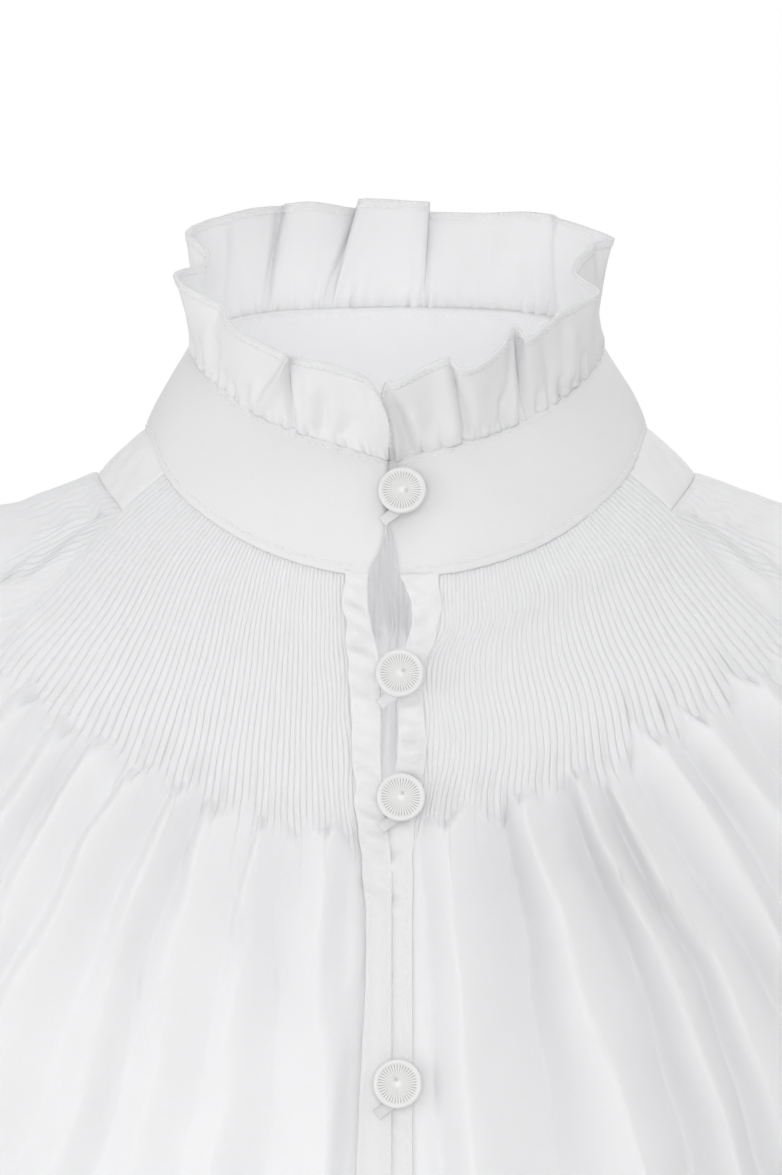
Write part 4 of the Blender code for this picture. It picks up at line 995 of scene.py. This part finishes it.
def sleeve_points(place, down):
    """Rings down the sleeve: down 0 is the head seam, 1 lies over the shoulder and so on to the cuff seam."""
    place = np.broadcast_to(place, (len(down), place.shape[-1]))
    rings = [sleeve_head(place)] + [sleeve_ring(ring, place) for ring in SLEEVE_RINGS]
    shoulder = (rings[0] + rings[1]) / 2
    shoulder[..., 2] -= SHOULDER_SAG * np.clip(np.cos(2 * np.pi * place), 0, 1)**6
    rings = np.array([rings[0], shoulder, *rings[1:]])
    return np.einsum("dk,kdwc->dwc", flow(np.arange(len(rings)), np.eye(len(rings)), down), rings)


profile = np.array(SLEEVE_PROFILE)
tuck_share = (np.arange(SLEEVE_TUCKS)[:, None] + profile[:, 0]).ravel() / SLEEVE_TUCKS
tuck_place = (tuck_share * 2 - 1) * SLEEVE_TUCK_SPAN
tuck_height = np.tile(profile[:, 1], SLEEVE_TUCKS)
rest_place = np.linspace(SLEEVE_TUCK_SPAN, 1 - SLEEVE_TUCK_SPAN, 110)
sleeve_place = np.concatenate([tuck_place, rest_place[:-1]])
sleeve_tuck = np.concatenate([tuck_height, np.zeros(len(rest_place) - 1)])
sleeve_down = np.concatenate([np.linspace(0, 1, 28)**1.3, np.linspace(1.06, 2.2, 14),
                              np.linspace(2.35, 9.3, 26), np.linspace(9.4, 10, 8)])
level_points = sleeve_points(sleeve_place, sleeve_down)
from_seam = np.cumsum(np.linalg.norm(np.diff(level_points, axis=0, prepend=level_points[:1]), axis=-1), 0)
signed = (sleeve_place + 0.5) % 1 - 0.5
off_top = np.abs(signed)
slant = TUCK_SLANT * ease(off_top, 0, 0.06) * (1 - ease(off_top, 0.2, 0.48)) * np.sign(signed)
slanted = sleeve_place + slant * ease(from_seam, -12, 45) - slant * ease(0, -12, 45)
tuck_number = (signed / SLEEVE_TUCK_SPAN + 1) / 2 * SLEEVE_TUCKS
stray = SLEEVE_STRAY * 2 * SLEEVE_TUCK_SPAN / SLEEVE_TUCKS * crumple(97, tuck_number / 5.0, from_seam / 7.0)
stray = stray * ease(from_seam, 1, 7) * (1 - ease(from_seam, 26, 42)) * (1 - ease(off_top, 0.1, 0.2))
slanted = slanted + stray
plain = sleeve_points(slanted, sleeve_down)
wrapped = slanted % 1
normal = surface_normals(plain, closed=True)
normal *= np.sign(np.sum(normal[50] * (plain[50] - plain[50].mean(0)), -1).mean())
folds = np.array(SLEEVE_FOLDS)
number = (sleeve_place / SLEEVE_TUCK_SPAN + 1) / 2 * SLEEVE_TUCKS
loose = 1 - ease(np.abs(sleeve_place), 0.06, 0.09)
to_cuff = from_seam[-1] - from_seam
underarm = 1 - ease(np.abs(wrapped - 0.5), 0.02, 0.12)
for side, name, seed in ((-1, "left", 101), (1, "right", 113)):
    # the tucks, and the ripples and puckers that they let out
    length = 21 - 16 * ease(np.abs(sleeve_place), 0.045, 0.105) + 2.5 * crumple(seed, number / 1.2)
    opened = ease(from_seam, length, length + 6)
    lift = SLEEVE_TUCK_HEIGHT * sleeve_tuck * (1 - opened) * loose
    reach = 6 + 12 * np.abs(crumple(seed + 1, number / 0.9))
    ripples = crumple(seed + 2, number / 2.2, from_seam / 18.0)
    lift = lift + 0.55 * ripples * opened * np.exp(-np.maximum(from_seam - length, 0) / reach) * loose
    puckers = crumple(seed + 8, from_seam / 4.5 + signed * 60) * np.exp(-((from_seam - 7) / 8.0)**2)
    lift = lift + 0.45 * puckers * ease(off_top, 0.05, 0.09) * (1 - ease(off_top, 0.2, 0.3))
    # the broad folds, the gathers at the cuff and the pull of the head seam
    at_place = (wrapped + 0.02 * crumple(seed + 3, wrapped * 5, from_seam / 90)) % 1
    at = np.clip(np.searchsorted(folds[:, 0], at_place, side="right") - 1, 0, len(folds) - 2)
    t = (at_place - folds[at, 0]) / (folds[at + 1, 0] - folds[at, 0])
    broad = folds[at, 1] + (folds[at + 1, 1] - folds[at, 1]) * t * t * (3 - 2 * t)
    share = ease(from_seam, 12, 85) * (0.25 + 0.75 * ease(to_cuff, 0, 60))
    gathers = 1.6 * crumple(seed + 4, wrapped * 90) * np.exp(-to_cuff / 16) * ease(to_cuff, -2, 5)
    gathers = gathers + 1.4 * crumple(seed + 5, wrapped * 42) * np.exp(-to_cuff / 45)
    head_pull = 0.35 * crumple(seed + 6, sleeve_place * 120) * np.exp(-from_seam / 5)
    lift = lift + broad * share * (1 - 0.6 * underarm) + gathers + head_pull * (1 - underarm)
    lift = lift * ease(from_seam, 0, 2.5)
    lift = lift + 0.6 * crumple(seed + 7, wrapped * 22, from_seam / 30) * ease(from_seam, 10, 60)
    points = (plain + normal * lift[..., None]) * (side, 1, 1)
    piece = cloth(f"sleeve_{name}_cloth", points, CAMBRIC, f"sleeve_{name}", closed=True)


# Cuffs: narrow doubled bands that hold the gathers at the sleeves' lower ends. They have a stiff lining
# between, and are topstitched along both edges.
CUFF_DEPTH = 24.0
CUFF_SHARES = (-0.04, -0.02, 0.02, 0.06, 0.085, 0.11, 0.2, 0.35, 0.5, 0.65, 0.8, 0.89, 0.915, 0.94, 0.98, 1.0)
CUFF_STITCHES = (4, 12)     # which of these rows the topstitching follows
cuff_place = np.linspace(0, 1, 150, endpoint=False)
ring = sleeve_ring(SLEEVE_RINGS[-1], cuff_place)
centre = ring.mean(0)
outward = unit(ring - centre)
cuff_rows = []
for share in CUFF_SHARES:
    edge = min(share - CUFF_SHARES[0], CUFF_SHARES[-1] - share) * CUFF_DEPTH
    out = 0.9 * (1 - math.exp(-edge / 0.8)) + 0.3
    for row in CUFF_STITCHES:
        out -= 0.22 * math.exp(-((share - CUFF_SHARES[row]) * CUFF_DEPTH / 0.8)**2)
    wave = crumple(121, cuff_place * 60, np.full_like(cuff_place, share * 2))
    out = out + 0.2 * wave * math.exp(-edge / 5)
    cuff_rows.append(ring + np.array(ARM_AXIS) * CUFF_DEPTH * share + outward * np.reshape(out, (-1, 1)))
for side, name in ((-1, "left"), (1, "right")):
    mirror = (side, 1, 1)
    piece = cloth(f"cuff_{name}_cloth", np.array(cuff_rows) * mirror, INTERFACED, f"cuff_{name}", closed=True,
                  shell=BAND_SHELL)
    lines = [((cuff_rows[row] + outward * BAND_SHELL / 2) * mirror, outward * mirror)
             for row in CUFF_STITCHES]
    stitches = sew(f"cuff_{name}_stitches", lines)


# Buttons: pressed white discs with a plain raised rim, fine radial ribs and a small off-centre pit, on a
# shank. One sits on the neckband and six on the right placket.
BUTTON_LIFT = 3.0
BUTTON_RIBS = 38
BUTTON_SPIN = 37        # degrees from one button to the next
RIB_ACROSS = ((0.0, 1.0), (0.24, 0.3), (0.5, 0.0), (0.76, 0.3))    # place from a groove to the next, depth
RIB_DEPTH = 0.45
RIM_RADIUS = 5.6
# The rim and the button's edge are painted a darker tone, and shade is painted into the pit, both as shares
# of the darkest resin colour.
RIM_DARKENING = 0.25
PIT_PLACE = (0.9, -0.8)
PIT_DEPTH = 0.7
PIT_PAINTED_SHADE = 0.5
BUTTON_RUNS = (30.0, 66.5, 148.5, 231.0, 314.0, 397.0)
BUTTON_X = (0.9, 1.2, 0.2, 0.2, 0.2, 0.2)
BAND_BUTTON = (2.0, 0.70)

# The resin's colour darkens with a point attribute: painted shade at the bottoms of the rib grooves and in
# the pit, and a darker tone on the rim and edge.
resin = Finish(bpy.data.materials.new("button_resin"))
grain = resin.node("ShaderNodeTexNoise", None, {"Scale": 1400.0, "Detail": 2.0})
painted_shade_and_rim_tone = resin.node("ShaderNodeAttribute", {"attribute_name": "painted_shade_and_rim_tone"}, (), 2)
resin_colour_with_painted_shade = resin.node("ShaderNodeMix", {"data_type": "RGBA"},
                         {"Factor": painted_shade_and_rim_tone, "A": (0.80, 0.80, 0.795, 1), "B": (0.42, 0.42, 0.415, 1)})
resin_bump = resin.node("ShaderNodeBump", None, {"Strength": 0.2, "Distance": 0.0001, "Height": grain})
RESIN = resin.surface(resin.node("ShaderNodeBsdfPrincipled", None, {
    "Base Color": resin_colour_with_painted_shade, "Roughness": 0.38, "Normal": resin_bump}))

button_profile = np.array((
    # radius, height, how much of the ribs and of their painted shade shows there
    (0.35, 1.85, 0.0), (0.8, 1.98, 0.1), (1.3, 2.04, 0.35), (2.1, 2.08, 0.50), (3.2, 2.10, 0.65),
    (4.0, 2.10, 0.80), (5.2, 2.08, 1.0), (5.5, 2.10, 0.6), (5.7, 2.24, 0.0), (6.0, 2.38, 0.0),
    (6.35, 2.40, 0.0), (6.7, 2.28, 0.0), (6.95, 2.05, 0.0), (7.0, 1.5, 0.0), (6.9, 0.8, 0.0),
    (6.4, 0.25, 0.0), (4.0, 0.05, 0.0), (1.5, 0.0, 0.0), (1.5, -1.5, 0.0), (0.4, -1.5, 0.0),
))
rib_place, rib = np.tile(np.array(RIB_ACROSS).T, BUTTON_RIBS)
turn = 2 * np.pi / BUTTON_RIBS * (np.repeat(np.arange(BUTTON_RIBS), len(RIB_ACROSS)) + rib_place)
spokes = len(turn)
radius, height, ribbed = button_profile.T[:, :, None]
across, up = radius * np.cos(turn), radius * np.sin(turn)
pit = np.exp(-((across - PIT_PLACE[0])**2 + (up - PIT_PLACE[1])**2) / 0.3) * (height > 1.4)
button_form = np.stack([across, up, height - RIB_DEPTH * ribbed * rib - PIT_DEPTH * pit], -1)
button_faces = join_grid(len(button_profile), spokes, True)
last_ring = (len(button_profile) - 1) * spokes
button_faces += [list(range(spokes))[::-1], list(range(last_ring, last_ring + spokes))]
# Painted shade in the grooves and the pit, and the darker rim and edge, for the resin's colour.
button_painted_shade_and_rim_tone = ribbed * rib + RIM_DARKENING * (radius > RIM_RADIUS) + PIT_PAINTED_SHADE * pit

front_form = BodyForm(1, FRONT_SECTIONS, FRONT_EDGE, STRAP_FRONT_ANGLE, 0)
fastenings = []
for x, run in zip(BUTTON_X, BUTTON_RUNS):
    run = np.array([run])
    u = front_form.place_of_x(np.array([x]), run)[:, None]
    seat = front_form.points(u, run, np.zeros((1, 1)))[0, 0]
    fastenings.append((seat, front_form.normals(u, run)[0, 0]))
band_angle = math.degrees(math.asin(BAND_BUTTON[0] / NECK_HALF_WIDTH))
seat = neck_point(band_angle, BAND_BUTTON[1])
sideways = neck_point(band_angle + 2, BAND_BUTTON[1]) - neck_point(band_angle - 2, BAND_BUTTON[1])
upward = neck_point(band_angle, BAND_BUTTON[1] + 0.05) - neck_point(band_angle, BAND_BUTTON[1] - 0.05)
fastenings.insert(0, (seat, unit(np.cross(sideways, upward))))


def face_axes(face):
    """Sideways, up and outward axes of a button."""
    sideways = unit(np.array([1.0, 0, 0]) - face * face[0])
    return np.stack([sideways, np.cross(face, sideways), face])


for number, (seat, face) in enumerate(fastenings, 1):
    spin = math.radians(BUTTON_SPIN * number)
    cos, sin = math.cos(spin), math.sin(spin)
    turned = button_form @ np.array([[cos, sin, 0], [-sin, cos, 0], [0, 0, 1]])
    points = turned @ face_axes(face) + seat + face * BUTTON_LIFT
    piece = add_mesh(f"button_{number}_resin", points, button_faces, RESIN, f"button_{number}")
    layer = piece.data.attributes.new("painted_shade_and_rim_tone", "FLOAT", "POINT")
    layer.data.foreach_set("value", button_painted_shade_and_rim_tone.astype(np.float32).ravel())


# Button loops: narrow folded tape, caught under the left edge. Each one slips over its button's shank and
# holds the fronts together.
LOOP_RADIUS = 3.3
LOOP_SLOPE = math.radians(38)
LOOP_REACH = 6.0
TAPE_WIDTH = 2.8
TAPE_SHELL = 0.7
TAPE_HEIGHT = 2.2       # above the button's seat
turn = np.linspace(LOOP_SLOPE - math.pi / 2, LOOP_SLOPE + math.pi / 2, 26)
bend = LOOP_RADIUS * np.stack([np.cos(turn), np.sin(turn)], -1)
legs = []
for end in (0, -1):
    far = bend[end] - np.array([1, math.tan(LOOP_SLOPE)]) * (bend[end][0] + LOOP_REACH)
    legs.append(bend[end] + (far - bend[end]) * np.linspace(0, 1, 14)[1:, None])
path = np.concatenate([legs[0][::-1], bend, legs[1]])
tangent = unit(np.gradient(path, axis=0))
aside = np.stack([tangent[:, 1], -tangent[:, 0]], -1)
for number, (seat, face) in enumerate(fastenings, 1):
    rows = []
    for share in (-0.5, -0.42, -0.2, 0.0, 0.2, 0.42, 0.5):
        flat = path + aside * TAPE_WIDTH * share
        wave = crumple(131 + number, np.arange(len(path)) / 5.0)
        height = TAPE_HEIGHT - 0.25 * (abs(share) > 0.45) + 0.12 * wave
        local = np.column_stack([flat, height])
        rows.append(local @ face_axes(face) + seat)
    piece = cloth(f"loop_{number}_tape", np.array(rows), CAMBRIC, f"loop_{number}", shell=TAPE_SHELL)
